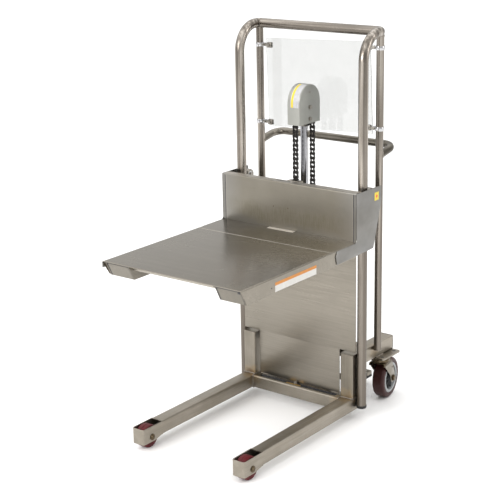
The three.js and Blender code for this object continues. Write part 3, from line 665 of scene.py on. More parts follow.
def leg(side, s):
    """A square tube, open over the load wheel, with the wheel guard welded to its front."""
    low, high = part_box(f"leg_{side}")
    well_back = high.y - 0.5748
    tube_bottom = high.z - 0.048
    bm = bmesh.new()
    outer = rounded((low.x, tube_bottom), (high.x, high.z), 0.006)
    centre = Vector(((low.x + high.x) / 2, (tube_bottom + high.z) / 2))
    inner = [centre + (p - centre) * (1 - 2 * LEG_WALL / (high.x - low.x)) for p in outer]
    stations = ((inner, well_back + 0.02), (outer, well_back), (outer, high.y), (inner, high.y))
    loft(bm, [lifted(ring, 1, y) for ring, y in stations], closed=True)

    # The wheel guard: a strip wrapped round the front, with a skirt below the tube.
    back = well_back - 0.0001
    skirt_end = low.y + 0.058
    rise_end = low.y + 0.094
    path = [(low.x, back), (low.x, rise_end), (low.x, skirt_end), (low.x, low.y), (high.x, low.y)]
    path += [(high.x, skirt_end), (high.x, rise_end), (high.x, back)]
    radii = [0, 0, 0, LEG_CORNER, LEG_CORNER, 0, 0, 0]
    line = fillet(path, radii, steps=7)
    near, far = low.x + LEG_WALL, high.x - LEG_WALL
    inner_path = [(near if a < centre.x else far, max(b, low.y + LEG_WALL)) for a, b in path]
    inside = fillet(inner_path, [max(r - LEG_WALL, 0) for r in radii], steps=7)
    lip = 0.0008
    rings = []
    for out, within in zip(line, inside):
        rise = min(max((out[1] - skirt_end) / (rise_end - skirt_end), 0), 1)
        foot = low.z + (tube_bottom - low.z) * rise
        ring = [(out, foot + lip), (out, high.z - lip), (out.lerp(within, 0.3), high.z)]
        ring += [(out.lerp(within, 0.7), high.z), (within, high.z - lip), (within, foot + lip)]
        ring += [(out.lerp(within, 0.7), foot), (out.lerp(within, 0.3), foot)]
        rings.append([Vector((p[0], p[1], z)) for p, z in ring])
    loft(bm, rings)
    # The torch-cut edge of the tube's top at the back of the well.
    teeth = 9
    cut = [(near, well_back + 0.003)]
    for i in range(teeth + 1):
        cut.append((near + (far - near) * i / teeth, well_back - dice.uniform(0, 0.004)))
    cut.append((far, well_back + 0.003))
    prism(bm, cut[::-1], 2, high.z - LEG_WALL, high.z - 0.0001)
    slab(bm, (near, high.y - 0.003, tube_bottom + LEG_WALL), (far, high.y - 0.0005, high.z - LEG_WALL), 0)
    piece(f"{side}_leg", bm, "mill_y", "frame", f"leg_{side}")


def load_wheel(side):
    """A grooved tyre on a hub, and the axle with its two flat heads."""
    centre = Vector(JOINTS[f"load_wheel_spin_{side}"]["pos_m"])
    low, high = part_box(f"load_wheel_{side}")
    radius = (high.z - low.z) / 2
    half = (high.x - low.x) / 2
    rim = [(radius * 0.55, -half), (radius - 0.006, -half), (radius - 0.0015, -half + 0.002)]
    rim += [(radius, -half + 0.006), (radius, -0.0014)]
    groove = (radius - 0.0012, 0)
    bm = bmesh.new()
    lathe(bm, [*rim, groove, *mirrored(rim)[len(rim):]], centre, X, 64)
    piece(f"{side}_load_tyre", bm, "red", f"load_wheel_{side}", f"load_wheel_{side}")
    bm = bmesh.new()
    hub = [(0.0064, 0.0005 - half), (0.013, 0.0005 - half), (0.0145, 0.004 - half)]
    hub += [(radius * 0.52, 0.004 - half), (radius * 0.56, 0.001 - half)]
    lathe(bm, mirrored(hub), centre, X, 48)
    piece(f"{side}_load_hub", bm, "core", f"load_wheel_{side}")

    bm = bmesh.new()
    low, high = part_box(f"load_axle_{side}")
    rod(bm, 0.006, low.x + 0.002, high.x - 0.002, Vector((0, centre.y, centre.z)), X, 32)
    for end, way in ((low.x, 1), (high.x, -1)):
        face = Vector((end, centre.y, centre.z))
        cap = [(0, 0.0004), (0.0046, 0), (0.0062, 0.0008), (0.0068, 0.0026), (0.0104, 0.0030)]
        lathe(bm, [*cap, (0.0112, 0.0040), (0.0112, 0.0056), (0, 0.0056)], face, X * way, 40)
    piece(f"{side}_load_axle", bm, "axle", "frame", f"load_axle_{side}")


def post_and_beam(side, s):
    """The short post at the mast's foot, the beam behind it and the rear tube's welds."""
    bm = bmesh.new()
    node = f"mast_post_{side}"
    low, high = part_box(node)
    box_tube(bm, node, 2)
    inset = 0.001
    lid_low = (low.x + inset, low.y + inset, high.z - 0.004)
    slab(bm, lid_low, (high.x - inset, high.y - inset, high.z - 0.0004), 0.0008)
    piece(f"{side}_mast_post", bm, "mill_z", "frame", node)
    weld(f"{side}_post_foot_weld", hoop(low, high, 2, low.z + 0.0005), "frame", 0.0026, True)
    weld(f"{side}_post_cap_weld", hoop(low, high, 2, high.z - 0.001), "frame", 0.0012, True)

    node = f"rear_beam_{side}"
    low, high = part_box(node)
    bm = bmesh.new()
    box_tube(bm, node, 1)
    lid_low = (low.x + inset, high.y - 0.004, low.z + inset)
    slab(bm, lid_low, (high.x - inset, high.y - 0.0004, high.z - inset), 0.0008)
    piece(f"{side}_rear_beam", bm, "mill_y", "frame", node)
    for where, y, size in (("front", low.y + 0.0008, 0.0024), ("end", high.y - 0.001, 0.0012)):
        weld(f"{side}_beam_{where}_weld", hoop(low, high, 1, y), "frame", size, True)

    # The rear tube stands through the beam's outer wall and is welded along both sides and its foot.
    rear_low, rear_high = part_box(f"rear_tube_{side}")
    centre = (rear_low + rear_high) / 2
    radius = (rear_high.x - rear_low.x) / 2
    edge = max(abs(low.x), abs(high.x))
    swing = math.degrees(math.acos(max(-1, min(1, (edge - abs(centre.x)) / radius))))
    for where, way in (("front", -1), ("rear", 1)):
        y = centre.y + way * radius * math.sin(math.radians(swing))
        line = [(s * edge, y, high.z), (s * edge, y, rear_low.z + 0.001)]
        weld(f"{side}_tube_seam_{where}", line, "frame", 0.0016)
    foot = [(centre.x + s * out, centre.y + along) for out, along in arc((0, 0), radius, -swing, swing, 14)]
    weld(f"{side}_tube_foot_seam", lifted(foot, 2, rear_low.z + 0.0008), "frame", 0.0014)


def front_member():
    """The front cross member: a square tube with a long slot in its top."""
    low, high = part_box("front_cross_member")
    slot_half, slot_front, slot_back = high.x - 0.0197, low.y + 0.010, low.y + 0.0275
    wall = 0.003
    ceiling = high.z - wall
    bm = bmesh.new()
    outline = [(low.y, low.z), (high.y, low.z), (high.y, high.z), (slot_back, high.z)]
    outline += [(slot_back, ceiling), (high.y - wall, ceiling), (high.y - wall, low.z + wall)]
    outline += [(low.y + wall, low.z + wall), (low.y + wall, ceiling), (slot_front, ceiling)]
    outline += [(slot_front, high.z), (low.y, high.z)]
    radii = [0.006, 0.006, 0.006, 0, 0, 0.003, 0.003, 0.003, 0.003, 0, 0, 0.006]
    prism(bm, fillet(outline, radii, True, 4), 0, -slot_half, slot_half)
    section = rounded((low.y, low.z), (high.y, high.z), 0.006)
    for s in SIDES.values():
        prism(bm, section, 0, *sided(s, slot_half, high.x))
    piece("front_member", bm, "mill_x", "frame", "front_cross_member")
    # The slot shows the unlit inside of the tube as dark slabs of painted shade.
    bm = bmesh.new()
    dark = slot_half - 0.001
    slab(bm, (-dark, slot_front, high.z - 0.0048), (dark, slot_back, high.z - 0.0042), 0)
    slab(bm, (-dark, slot_back - 0.0006, high.z - 0.0046), (dark, slot_back + 0.0004, high.z - 0.0003), 0)
    piece("front_member_slot", bm, "core", "frame")
    for side, s in SIDES.items():
        path = hoop(low, high, 0, s * (high.x + 0.0005))
        weld(f"{side}_front_member_weld", path, "frame", 0.0026, True)


def rear_tie():
    """The rear cross member, with the lug that holds the fixed end of the chain."""
    low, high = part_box("rear_tie_member")
    tie_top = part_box("rear_beam_left")[1].z
    chain_low, chain_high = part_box("rear_chain_run")
    lug_y = (chain_low.y + chain_high.y) / 2
    bm = bmesh.new()
    section = rounded((low.y, low.z), (high.y, tie_top), 0.006)
    prism(bm, section, 0, low.x, high.x)
    slab(bm, (-0.009, lug_y - 0.005, tie_top - 0.002), (0.009, lug_y + 0.005, high.z), 0.0012)
    piece("rear_tie", bm, "mill_x", "frame", "rear_tie_member")
    for side, s in SIDES.items():
        path = lifted(section, 0, s * (high.x + 0.0005))
        weld(f"{side}_rear_tie_weld", path, "frame", 0.0024, True)
    lug = rectangle((-0.0098, lug_y - 0.0058), (0.0098, lug_y + 0.0058))
    weld("lug_weld", lifted(lug, 2, tie_top + 0.0004), "frame", 0.0018, True)


def front_panel():
    """The thin panel below the platform, with a folded foot and two tacked studs."""
    low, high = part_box("front_panel")
    notch_in, notch_top = high.x - 0.067, low.z + 0.167
    corners = [(-notch_in, low.z), (notch_in, low.z), (notch_in, notch_top), (high.x, notch_top)]
    corners += [(high.x, high.z), (low.x, high.z), (low.x, notch_top), (-notch_in, notch_top)]
    radii = [0.002, 0.002, 0.003, 0.003, 0.006, 0.006, 0.003, 0.003]
    bm = bmesh.new()
    prism(bm, fillet(corners, radii, True, 4), 1, low.y, low.y + 0.002, 0.0005, 2)
    bend = [(low.y + 0.0022, low.z + 0.0025), (high.y, low.z + 0.0025), (high.y, low.z), (low.y, low.z)]
    prism(bm, fillet(bend, [0.0, 0.0004, 0.0004, 0.0016], True, 3), 0, -notch_in + 0.001, notch_in - 0.001)
    piece("front_sheet", bm, "panel", "frame", "front_panel")
    bm = bmesh.new()
    for x, z in ((-0.034, low.z + 0.052), (0.0, low.z + 0.047)):
        button = [(0, 0.0), (0.0022, 0.0), (0.0018, 0.0008), (0, 0.0011)]
        lathe(bm, button, Vector((x, low.y, z)), -Y, 16)
    piece("panel_tacks", bm, "weld", "frame")
    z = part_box("front_cross_member")[1].z + 0.004
    for side, s in SIDES.items():
        line = [(s * (notch_in - x), low.y - 0.0005, z) for x in (0.004, 0.036)]
        weld(f"{side}_panel_weld", line, "frame", 0.0022)


# ---- casters ----


def caster_plate(side, s):
    """The plate under the rear beam, with its screws and two welds."""
    low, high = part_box(f"caster_plate_{side}")
    bm = bmesh.new()
    prism(bm, rounded((low.x, low.y), (high.x, high.y), 0.008, 5), 2, low.z, high.z, 0.001)
    piece(f"{side}_caster_plate", bm, "stamped", "frame", f"caster_plate_{side}")

    beam_low, beam_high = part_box(f"rear_beam_{side}")
    outer = max(abs(beam_low.x), abs(beam_high.x))
    inner = min(abs(beam_low.x), abs(beam_high.x))
    # Dark discs at the screw holes paint the shade inside them.
    screws = bmesh.new()
    hole_shades = bmesh.new()
    for x in ((outer + max(abs(low.x), abs(high.x))) / 2, (inner + min(abs(low.x), abs(high.x))) / 2):
        for y in (low.y + 0.018, high.y - 0.018):
            rod(hole_shades, 0.0062, high.z - 0.0004, high.z + 0.00015, Vector((s * x, y, 0)), Z, 24)
            bolt(screws, Vector((s * x, y, low.z)), -Z, 0.009, 0.004, 1.3)
    piece(f"{side}_plate_hole_shade", hole_shades, "core", "frame")
    piece(f"{side}_plate_screws", screws, "bolts", "frame")
    z = high.z + 0.0006
    for where, x in (("inner", s * inner), ("outer", s * outer)):
        weld(f"{side}_plate_weld_{where}", [(x, low.y + 0.004, z), (x, low.y + 0.050, z)], "frame", 0.0022)


def caster(side):
    """Raceway, fork and wheel, built about the swivel's own axis and then turned to the rest pose."""
    swivel = Vector(JOINTS[f"caster_swivel_{side}"]["pos_m"])
    wheel = JOINTS[f"caster_wheel_spin_{side}"]
    axis = Vector(wheel["axis"])
    yaw = math.atan2(axis.y, axis.x)
    placed = Matrix.Translation((swivel.x, swivel.y, 0)) @ Matrix.Rotation(yaw, 4, "Z")
    trail = (Vector(wheel["pos_m"]) - Vector((swivel.x, swivel.y, wheel["pos_m"][2]))).length
    axle_z = wheel["pos_m"][2]
    race_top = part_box(f"caster_plate_{side}")[0].z - 0.0003
    crown = race_top - 0.0264
    body = f"caster_{side}"

    # Raceway: two stamped dishes round the ball track, and the king bolt, in dark bronze that paints the
    # shade under the plate.
    bm = bmesh.new()
    upper = [(0, race_top), (0.0352, race_top), (0.036, race_top - 0.001), (0.036, race_top - 0.009)]
    upper += [(0.0335, race_top - 0.013), (0.0335, race_top - 0.0145), (0, race_top - 0.0145)]
    lathe(bm, upper, Vector(), Z, 56)
    lower = [(0, crown), (0.030, crown), (0.0335, crown + 0.003), (0.0345, race_top - 0.0155)]
    lower += [(0.031, race_top - 0.014), (0, race_top - 0.014)]
    lathe(bm, lower, Vector(), Z, 56)
    bolt(bm, Vector((0, 0, crown - 0.0034)), -Z, 0.017, 0.004, 1.4)
    turned(bm, placed)
    piece(f"{side}_caster_raceway", bm, "axle", body)

    # Fork: a folded strap with rounded shoulders, pinched to the axle.
    half, strap = 0.0305, 0.0036
    bm = bmesh.new()
    top, knee, toe = crown - 0.004, axle_z + 0.014, axle_z - 0.015
    cheek = [(-0.034, top), (0.036, top), (trail + 0.018, knee), (trail + 0.013, toe)]
    cheek += [(trail - 0.013, toe), (trail - 0.022, knee)]
    shape = fillet(cheek, [0.006, 0.012, 0.022, 0.012, 0.012, 0.03], True, 6)
    for x0, x1 in ((-half, -half + strap), (half - strap, half)):
        prism(bm, shape, 0, x0, x1, 0.0009)
    turned(bm, placed)
    piece(f"{side}_caster_fork", bm, "stamped", body, f"caster_fork_{side}")
    # The crown between the fork's cheeks is dark bronze too, painting the shade under the plate.
    bm = bmesh.new()
    foot, top = crown - 0.012, crown + 0.002
    bridge = [(-half, foot), (-half, top), (half, top), (half, foot), (half - strap, foot)]
    bridge += [(half - strap, top - strap), (-half + strap, top - strap), (-half + strap, foot)]
    arch = fillet(bridge, [0, 0.007, 0.007, 0, 0, 0.004, 0.004, 0], True, 5)
    prism(bm, arch, 1, -0.0335, 0.0355, 0.0006)
    turned(bm, placed)
    piece(f"{side}_caster_crown", bm, "axle", body)

    bm = bmesh.new()
    centre = Vector((0, trail, axle_z))
    rod(bm, 0.005, -half, half, centre, X, 24)
    for way in (-1, 1):
        bolt(bm, centre + X * (way * half), X * way, 0.019, 0.0062, 1.3)
    for y, z in ((trail - 0.008, axle_z + 0.045), (trail + 0.004, axle_z + 0.043)):
        rivet = [(0, -half - 0.0012), (0.0022, -half - 0.0008), (0.003, -half)]
        lathe(bm, mirrored(rivet), Vector((0, y, z)), X, 20)
    turned(bm, placed)
    piece(f"{side}_caster_axle", bm, "axle", body)

    caster_wheel(side, placed, centre)


def caster_wheel(side, placed, centre):
    """A round-shouldered tyre on a ribbed core."""
    radius = centre.z
    half = 0.0228
    body = f"caster_wheel_{side}"
    bm = bmesh.new()
    shoulder = radius - 0.008
    tread = [(radius * 0.74, 0.003 - half), (radius * 0.76, 0.0005 - half)]
    tread += [(shoulder - 0.002, -half), (shoulder, 0.0005 - half)]
    for angle in (20, 38, 55, 72, 90):
        turn = math.radians(angle)
        tread.append((shoulder + 0.008 * math.sin(turn), 0.0005 - half + 0.010 * (1 - math.cos(turn))))
    lathe(bm, mirrored(tread), centre, X, 96)
    turned(bm, placed)
    piece(f"{side}_caster_tyre", bm, "tread", body, f"caster_wheel_{side}")

    bm = bmesh.new()
    inner, outer = radius * 0.6, radius * 0.752
    rim = [(inner, -0.012), (inner + 0.001, 0.0008 - half), (inner + 0.003, -half), (outer - 0.003, -half)]
    rim.append((outer, 0.002 - half))
    lathe(bm, mirrored(rim), centre, X, 80)
    turned(bm, placed)
    piece(f"{side}_caster_rim", bm, "hub", body)

    bm = bmesh.new()
    lathe(bm, mirrored([(0.012, -0.006), (inner + 0.0005, -0.009)]), centre, X, 56)
    boss_half = 0.0262
    boss = [(0.0064, -boss_half), (0.0135, -boss_half), (0.015, 0.0015 - boss_half), (0.018, -0.007)]
    lathe(bm, mirrored(boss), centre, X, 44)
    spokes = 10
    swap_axes = Matrix(((0, 1, 0, 0), (1, 0, 0, 0), (0, 0, 1, 0), (0, 0, 0, 1)))
    outline = mirrored([(0.015, -0.021), (inner + 0.0003, -0.017)])
    for i in range(spokes):
        rib = bmesh.new()
        prism(rib, outline, 2, -0.0013, 0.0013, 0.0004)
        turn = Matrix.Rotation(2 * math.pi * i / spokes, 4, "X")
        turned(rib, Matrix.Translation(centre) @ turn @ swap_axes)
        merge(bm, rib)
    turned(bm, placed)
    piece(f"{side}_caster_core", bm, "core", body)


# ---- hydraulics ----


def refined_piece(name, look, body, node, bevel):
    bm = bmesh.new()
    refined(bm, node, bevel)
    piece(name, bm, look, body, node)


def ram():
    """The ram's base, barrel and strap."""
    low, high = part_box("ram_base_plate")
    bm = bmesh.new()
    prism(bm, rounded((low.x, low.y), (high.x, high.y), 0.004), 2, low.z, high.z, 0.0008)
    for x in (low.x + 0.010, high.x - 0.010):
        for y in (low.y + 0.008, high.y - 0.012):
            bolt(bm, Vector((x, y, high.z)), Z, 0.010, 0.0045)
    piece("ram_base", bm, "stamped", "frame", "ram_base_plate")

    low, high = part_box("ram_foot_block")
    block("foot_block", "bronze", "frame", low, high, 0.0008, "ram_foot_block")
    bm = bmesh.new()
    member_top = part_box("front_cross_member")[1].z
    place = Vector(((low.x + high.x) / 2 + 0.006, high.y + 0.002, member_top))
    bolt(bm, place, Z, 0.0115, 0.0075, 1.3)
    piece("foot_block_nut", bm, "bolts", "frame")

    low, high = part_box("ram_barrel")
    centre = Vector(((low.x + high.x) / 2, (low.y + high.y) / 2, 0))
    barrel, gland = 0.0298, 0.0328
    top, bore = high.z, 0.0135
    bm = bmesh.new()
    profile = [(0, low.z), (gland, low.z), (gland, low.z + 0.016), (barrel, low.z + 0.019)]
    profile += [(barrel, top - 0.030), (gland, top - 0.027), (gland, top - 0.002), (gland - 0.002, top)]
    profile += [(bore, top), (bore, top - 0.012), (0, top - 0.012)]
    lathe(bm, profile, centre, Z, 56)
    piece("barrel", bm, "enamel", "frame", "ram_barrel")
    bm = bmesh.new()
    wiper = [(0.0129, top - 0.004), (0.0175, top - 0.002), (0.0175, top + 0.0015)]
    wiper += [(0.0145, top + 0.003), (0.0129, top + 0.002)]
    lathe(bm, wiper, centre, Z, 48)
    piece("gland_wiper", bm, "rubber", "frame")

    bm = bmesh.new()
    low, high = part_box("ram_strap")
    refined(bm, "ram_strap", 0.0008)
    for x in (low.x + 0.007, high.x - 0.007):
        bolt(bm, Vector((x, low.y, (low.z + high.z) / 2)), -Y, 0.008, 0.004)
    piece("strap", bm, "bolts", "frame", "ram_strap")


def pump():
    """The pump block, the release valve and their plugs, the release lever and the pedal."""
    refined_piece("pump", "enamel", "frame", "pump_block", 0.002)
    low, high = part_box("pump_block")
    middle = (low.x + high.x - 0.026) / 2
    bm = bmesh.new()
    for y in (low.y + 0.012, low.y + 0.052):
        bolt(bm, Vector((middle, y, high.z - 0.026)), Z, 0.010, 0.006)
    for z in (low.z + 0.0154, low.z + 0.0574):
        bolt(bm, Vector((low.x + 0.018, low.y, z)), -Y, 0.012, 0.005)
    piece("pump_plugs", bm, "bolts", "frame")

    refined_piece("valve", "enamel", "frame", "release_valve", 0.002)
    low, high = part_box("release_valve")
    middle = (low.x + high.x) / 2
    bm = bmesh.new()
    bolt(bm, Vector((middle, low.y + 0.014, high.z)), Z, 0.012, 0.006)
    bolt(bm, Vector((middle, low.y, low.z + 0.0294)), -Y, 0.012, 0.005)
    piece("valve_plugs", bm, "bolts", "frame")

    refined_piece("release_arm", "bolts", "release", "release_lever", 0.0012)
    refined_piece("pedal_arm", "stamped", "pump_pedal", "pump_pedal_arm", 0.0014)
    low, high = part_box("pump_pedal_tread")
    foot = low.z + 0.011
    bm = bmesh.new()
    prism(bm, rounded((low.x, low.y), (high.x, high.y), 0.007, 5), 2, foot, high.z - 0.0012, 0.001)
    ribs = 6
    for i in range(ribs):
        y = low.y + (high.y - low.y) * (i + 1) / (ribs + 1)
        slab(bm, (low.x + 0.004, y - 0.0013, high.z - 0.003), (high.x - 0.004, y + 0.0013, high.z), 0.0005)
    piece("pedal_plate", bm, "stamped", "pump_pedal", "pump_pedal_tread")
    pad_low = (low.x + 0.001, low.y + 0.001, low.z)
    block("pedal_pad", "rubber", "pump_pedal", pad_low, (high.x - 0.001, high.y - 0.001, foot), 0.002)


# ---- ram head and chain ----

PITCH = 0.015875  # five eighths of an inch between chain pins
TEETH = 20
SPROCKET = JOINTS["sprocket_spin"]["pos_m"]
SPROCKET_R = PITCH / 2 / math.sin(math.pi / TEETH)
ROLLER_R = 0.00508
FRONT_PINS = 15  # pitches from the carriage's anchor pin up to the sprocket's centre, at rest
REAR_PINS = 52  # pitches from the sprocket's centre down to the fixed pin, at rest
RUN_LINKS = 7  # links in each short stretch of the front run
RUN_STEP = 2  # pitches between the feet of two neighbouring stretches
REAR_ROOT_LINKS = 36  # links of the rear run that stand on the rear tie
REAR_HEAD_LINKS = 24  # links of the rear run that rise with the head


def head():
    """The ram's rod and the yoke that carries the sprocket."""
    low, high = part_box("ram_rod")
    centre = Vector((0, SPROCKET[1], 0))
    bm = bmesh.new()
    radius = (high.x - low.x) / 2
    profile = [(0, low.z), (radius - 0.002, low.z), (radius, low.z + 0.002), (radius, high.z - 0.001)]
    lathe(bm, [*profile, (radius - 0.001, high.z), (0, high.z)], centre, Z, 56)
    piece("rod", bm, "rod", "ram_head", "ram_rod")

    low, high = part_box("head_yoke")
    bm = bmesh.new()
    y0, y1 = SPROCKET[1] - 0.016, SPROCKET[1] + 0.016
    slab(bm, (-0.019, y0, low.z), (0.019, y1, low.z + 0.008), 0.001)
    cheek = rounded((y0, low.z), (y1, high.z), [0.001, 0.001, 0.012, 0.012], 5)
    for x in (-0.019, 0.013):
        prism(bm, cheek, 0, x, x + 0.006, 0.0008)
    rod(bm, 0.008, -0.028, 0.028, Vector(SPROCKET), X, 32)
    piece("yoke", bm, "bolts", "ram_head", "head_yoke")


def head_cap():
    """The domed cover over the sprocket: a shell open below, with bolts and a blank label."""
    low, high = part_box("head_cap")
    half = 0.0255
    outer = (high.y - low.y) / 2
    arch = high.z - outer
    y, skirt = SPROCKET[1], low.z
    wall = 0.002
    soft = 0.0022

    def dome(x, radius, foot):
        outline = [(y - radius, foot), (y + radius, foot)] + arc((y, arch), radius, 0, 180, 40)
        return lifted(outline, 0, x)

    bm = bmesh.new()
    edge = [(half, outer - soft), (half - soft * 0.3, outer - soft * 0.3), (half - soft, outer)]
    rings = [dome(-x, radius, skirt) for x, radius in edge]
    rings += [dome(x, radius, skirt) for x, radius in edge[::-1]]
    loft(bm, rings)
    own = bmesh.new()
    loft(own, [dome(x, outer - wall, skirt + 0.0004) for x in (half - wall, wall - half)])
    merge(bm, own)
    # The underside is open: its faces come out and the rim is closed between shell and lining.
    bm.normal_update()
    flat = [f for f in bm.faces if abs(f.normal.z) > 0.99]
    under = [f for f in flat if f.calc_center_median().z < skirt + 0.001]
    bmesh.ops.delete(bm, geom=under, context="FACES")
    bmesh.ops.bridge_loops(bm, edges=[e for e in bm.edges if e.is_boundary])
    piece("cap_shell", bm, "cap", "ram_head", "head_cap")

    bm = bmesh.new()
    for s in SIDES.values():
        for z, across in ((SPROCKET[2], 0.0135), (low.z + 0.016, 0.0125)):
            bolt(bm, Vector((s * half, y, z)), X * s, across, 0.0045, 1.2)
        button = [(0, 0), (0.0042, 0), (0.004, 0.0012), (0.002, 0.0022), (0, 0.0024)]
        lathe(bm, button, Vector((s * half, y, high.z - 0.0268)), X * s, 24)
    piece("cap_bolts", bm, "bolts", "ram_head")

    # Blank label bent over the front of the cap: a pale strip with a yellow stripe.
    for name, look, x0, x1, lift in (
        ("cap_label", "silver", -0.012, 0.0215, 0.0003),
        ("cap_label_stripe", "yellow", -0.0095, -0.001, 0.0005),
    ):
        lines = []
        for radius in (outer + lift, outer - 0.0005):
            lines.append([(y - radius, arch - 0.012)] + arc((y, arch), radius, 180, 100, 26))
        strips = []
        for top, below in zip(*lines):
            corners = ((x0, *top), (x1, *top), (x1, *below), (x0, *below))
            strips.append([Vector(corner) for corner in corners])
        bm = bmesh.new()
        loft(bm, strips)
        piece(name, bm, look, "ram_head")


def sprocket():
    """A toothed wheel on a hub, in the plane of the chain."""
    centre = Vector(SPROCKET)
    bm = bmesh.new()
    tooth = 360 / TEETH
    tip_r = SPROCKET_R + 0.0034
    outline = []
    for i in range(TEETH):
        middle = math.radians(i * tooth)
        seat = (SPROCKET_R * math.cos(middle), SPROCKET_R * math.sin(middle))
        facing = i * tooth + 180
        outline += arc(seat, ROLLER_R + 0.0001, facing + 62, facing - 62, 6)
        tip = math.radians((i + 0.5) * tooth)
        for turn in (tip - 0.03, tip + 0.03):
            outline.append((tip_r * math.cos(turn), tip_r * math.sin(turn)))
    prism(bm, [(centre.y + a, centre.z + b) for a, b in outline], 0, -0.0043, 0.0043, 0.0007, 1, 60)
    lathe(bm, mirrored([(0.0085, -0.0125), (0.022, -0.0125), (0.0235, -0.011)]), centre, X, 48)
    piece("sprocket_wheel", bm, "chain", "sprocket", "chain_sprocket")


def link_outline(height):
    """Waisted plate between two pins, drawn along the link."""
    radius = height / 2
    first = arc((0, 0), radius, 62, 298, 10)
    second = arc((PITCH, 0), radius, -118, 118, 10)
    waist = radius * 0.66
    return first + [(PITCH / 2, -waist)] + second + [(PITCH / 2, waist)]


def links(bm, pins, first_is_outer, size=1.0):
    """Roller chain through a row of pins given as (y, z), with alternate outer and inner links.

    Stretches that slide through each other are drawn a little smaller than their neighbours."""
    shrink = 1.0 - size
    for i, (near, far) in enumerate(zip(pins, pins[1:])):
        outer = (i % 2 == 0) == first_is_outer
        near, far = Vector(near), Vector(far)
        way = (far - near).normalized()
        other = Vector((-way.y, way.x))
        height = (0.0128 if outer else 0.0146) * size
        inside = 0.0069 if outer else 0.0048
        plate = [near + way * a + other * b for a, b in link_outline(height)]
        for s in SIDES.values():
            ends = sided(s, inside + shrink * 0.01, inside + 0.0019 - shrink * 0.01)
            prism(bm, plate, 0, *ends, 0.00035, 1, 60)
    for pin in pins:
        place = Vector((0, *pin))
        half = 0.0047 - shrink * 0.01
        lathe(bm, mirrored([(0.0022, -half), (ROLLER_R * size, -half)]), place, X, 14)
        long = 0.0102 - shrink * 0.02
        lathe(bm, mirrored([(0, -long), (0.0021, -long), (0.0025, 0.0006 - long)]), place, X, 10)


def chain():
    """The front run is five short stretches that slide past each other; the rear run is two."""
    front_y = SPROCKET[1] - SPROCKET_R
    rear_y = SPROCKET[1] + SPROCKET_R
    anchor_z = SPROCKET[2] - FRONT_PINS * PITCH
    riders = ["carriage", "chain_run_2", "chain_run_3", "chain_run_4"]
    thinner = 0.012
    for run, body in enumerate(riders):
        bm = bmesh.new()
        start = run * RUN_STEP
        pins = [(front_y, anchor_z + (start + i) * PITCH) for i in range(RUN_LINKS + 1)]
        links(bm, pins, True, 1 - thinner * run)
        piece(f"chain_run_{run + 1}_links", bm, "chain", body, f"front_chain_run_{run + 1}")

    start = len(riders) * RUN_STEP
    pins = [(front_y, anchor_z + i * PITCH) for i in range(start, FRONT_PINS)]
    over = arc((SPROCKET[1], SPROCKET[2]), SPROCKET_R, 180, 0, TEETH // 2)
    down = [(rear_y, SPROCKET[2] - i * PITCH) for i in range(1, REAR_HEAD_LINKS + 1)]
    bm = bmesh.new()
    links(bm, pins + over + down, True, 1 - thinner * len(riders))
    piece("chain_over_head", bm, "chain", "ram_head", "chain_over_sprocket")

    fixed_z = SPROCKET[2] - REAR_PINS * PITCH
    pins = [(rear_y, fixed_z + i * PITCH) for i in range(REAR_ROOT_LINKS + 1)]
    bm = bmesh.new()
    starts_outer = (FRONT_PINS + TEETH // 2 + REAR_PINS) % 2 == 1
    links(bm, pins, starts_outer)
    piece("chain_rear_links", bm, "chain", "frame", "rear_chain_run")


# ---- carriage ----


def deck():
    """The platform's sheet, folded down on both sides, and what shows at its edges."""
    low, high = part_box("platform_deck")
    back = high.y
    slant = 0.030
    outline = hat(low, high, 0.005, 0.0006, 6)
    bm = bmesh.new()
    rings = []
    for inset, y in ((0.0005, low.y), (0.0, low.y + 0.0005), (0.0, back)):
        ring = []
        for p in outline:
            share = (high.z - p[1]) / (high.z - low.z)
            lean = slant * max(0.0, share - 0.3) / 0.7 if y < back else 0.0
            ring.append(Vector((p[0], y + lean, p[1] - (inset if p[1] > high.z - 0.001 else 0))))
        rings.append(ring)
    loft(bm, rings)
    piece("deck_sheet", bm, "deck", "carriage", "platform_deck")

    # The stiffening bar between the two channels, set back under the sheet.
    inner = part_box("deck_channel_right")[0].x
    bar_y, bar_foot = low.y + 0.028, high.z - 0.0205
    bar_high = (inner + 0.001, bar_y + 0.003, high.z - SHEET + 0.0003)
    block("deck_bar", "crease", "carriage", (-inner - 0.001, bar_y, bar_foot), bar_high, 0.0006)
    # Dark slabs paint the shade in the gaps between the sheet's front edge and the channels, and at the
    # open right corner.
    edge, front = high.z - SHEET, low.y + 0.0001
    bm = bmesh.new()
    slab(bm, (low.x + 0.004, front, edge - 0.0018), (-inner, low.y + 0.0012, edge + 0.0003), 0)
    slab(bm, (inner, front, edge - 0.0018), (high.x - 0.004, low.y + 0.0012, edge + 0.0003), 0)
    slab(bm, (high.x - 0.013, front, high.z - 0.0105), (high.x - 0.004, low.y + 0.0025, edge), 0)
    piece("deck_front_gap", bm, "core", "carriage")
    stop_low = (low.x - 0.0028, low.y, high.z - 0.023)
    stop_high = (low.x + 0.0004, low.y + 0.022, high.z - 0.003)
    block("left_rail_stop", "plate", "carriage", stop_low, stop_high, 0.0008)

    # A low crease where the deck rests on the carriage's own floor, in a pale sheet that paints a highlight
    # along it, and a strip at the back.
    crease = back - 0.148
    hump = [(-0.0022, -0.0005), (-0.0022, 0), (-0.0008, 0.0006)]
    hump += [(-along, up) for along, up in hump[::-1]]
    bm = bmesh.new()
    prism(bm, [(crease + along, high.z + up) for along, up in hump], 0, low.x + 0.003, high.x - 0.003)
    piece("deck_crease", bm, "crease", "carriage")
    strip_low = (-0.076, back - 0.018, high.z - 0.0002)
    block("floor_strip", "strip", "carriage", strip_low, (0.034, back - 0.0005, high.z + 0.0008), 0.0003)


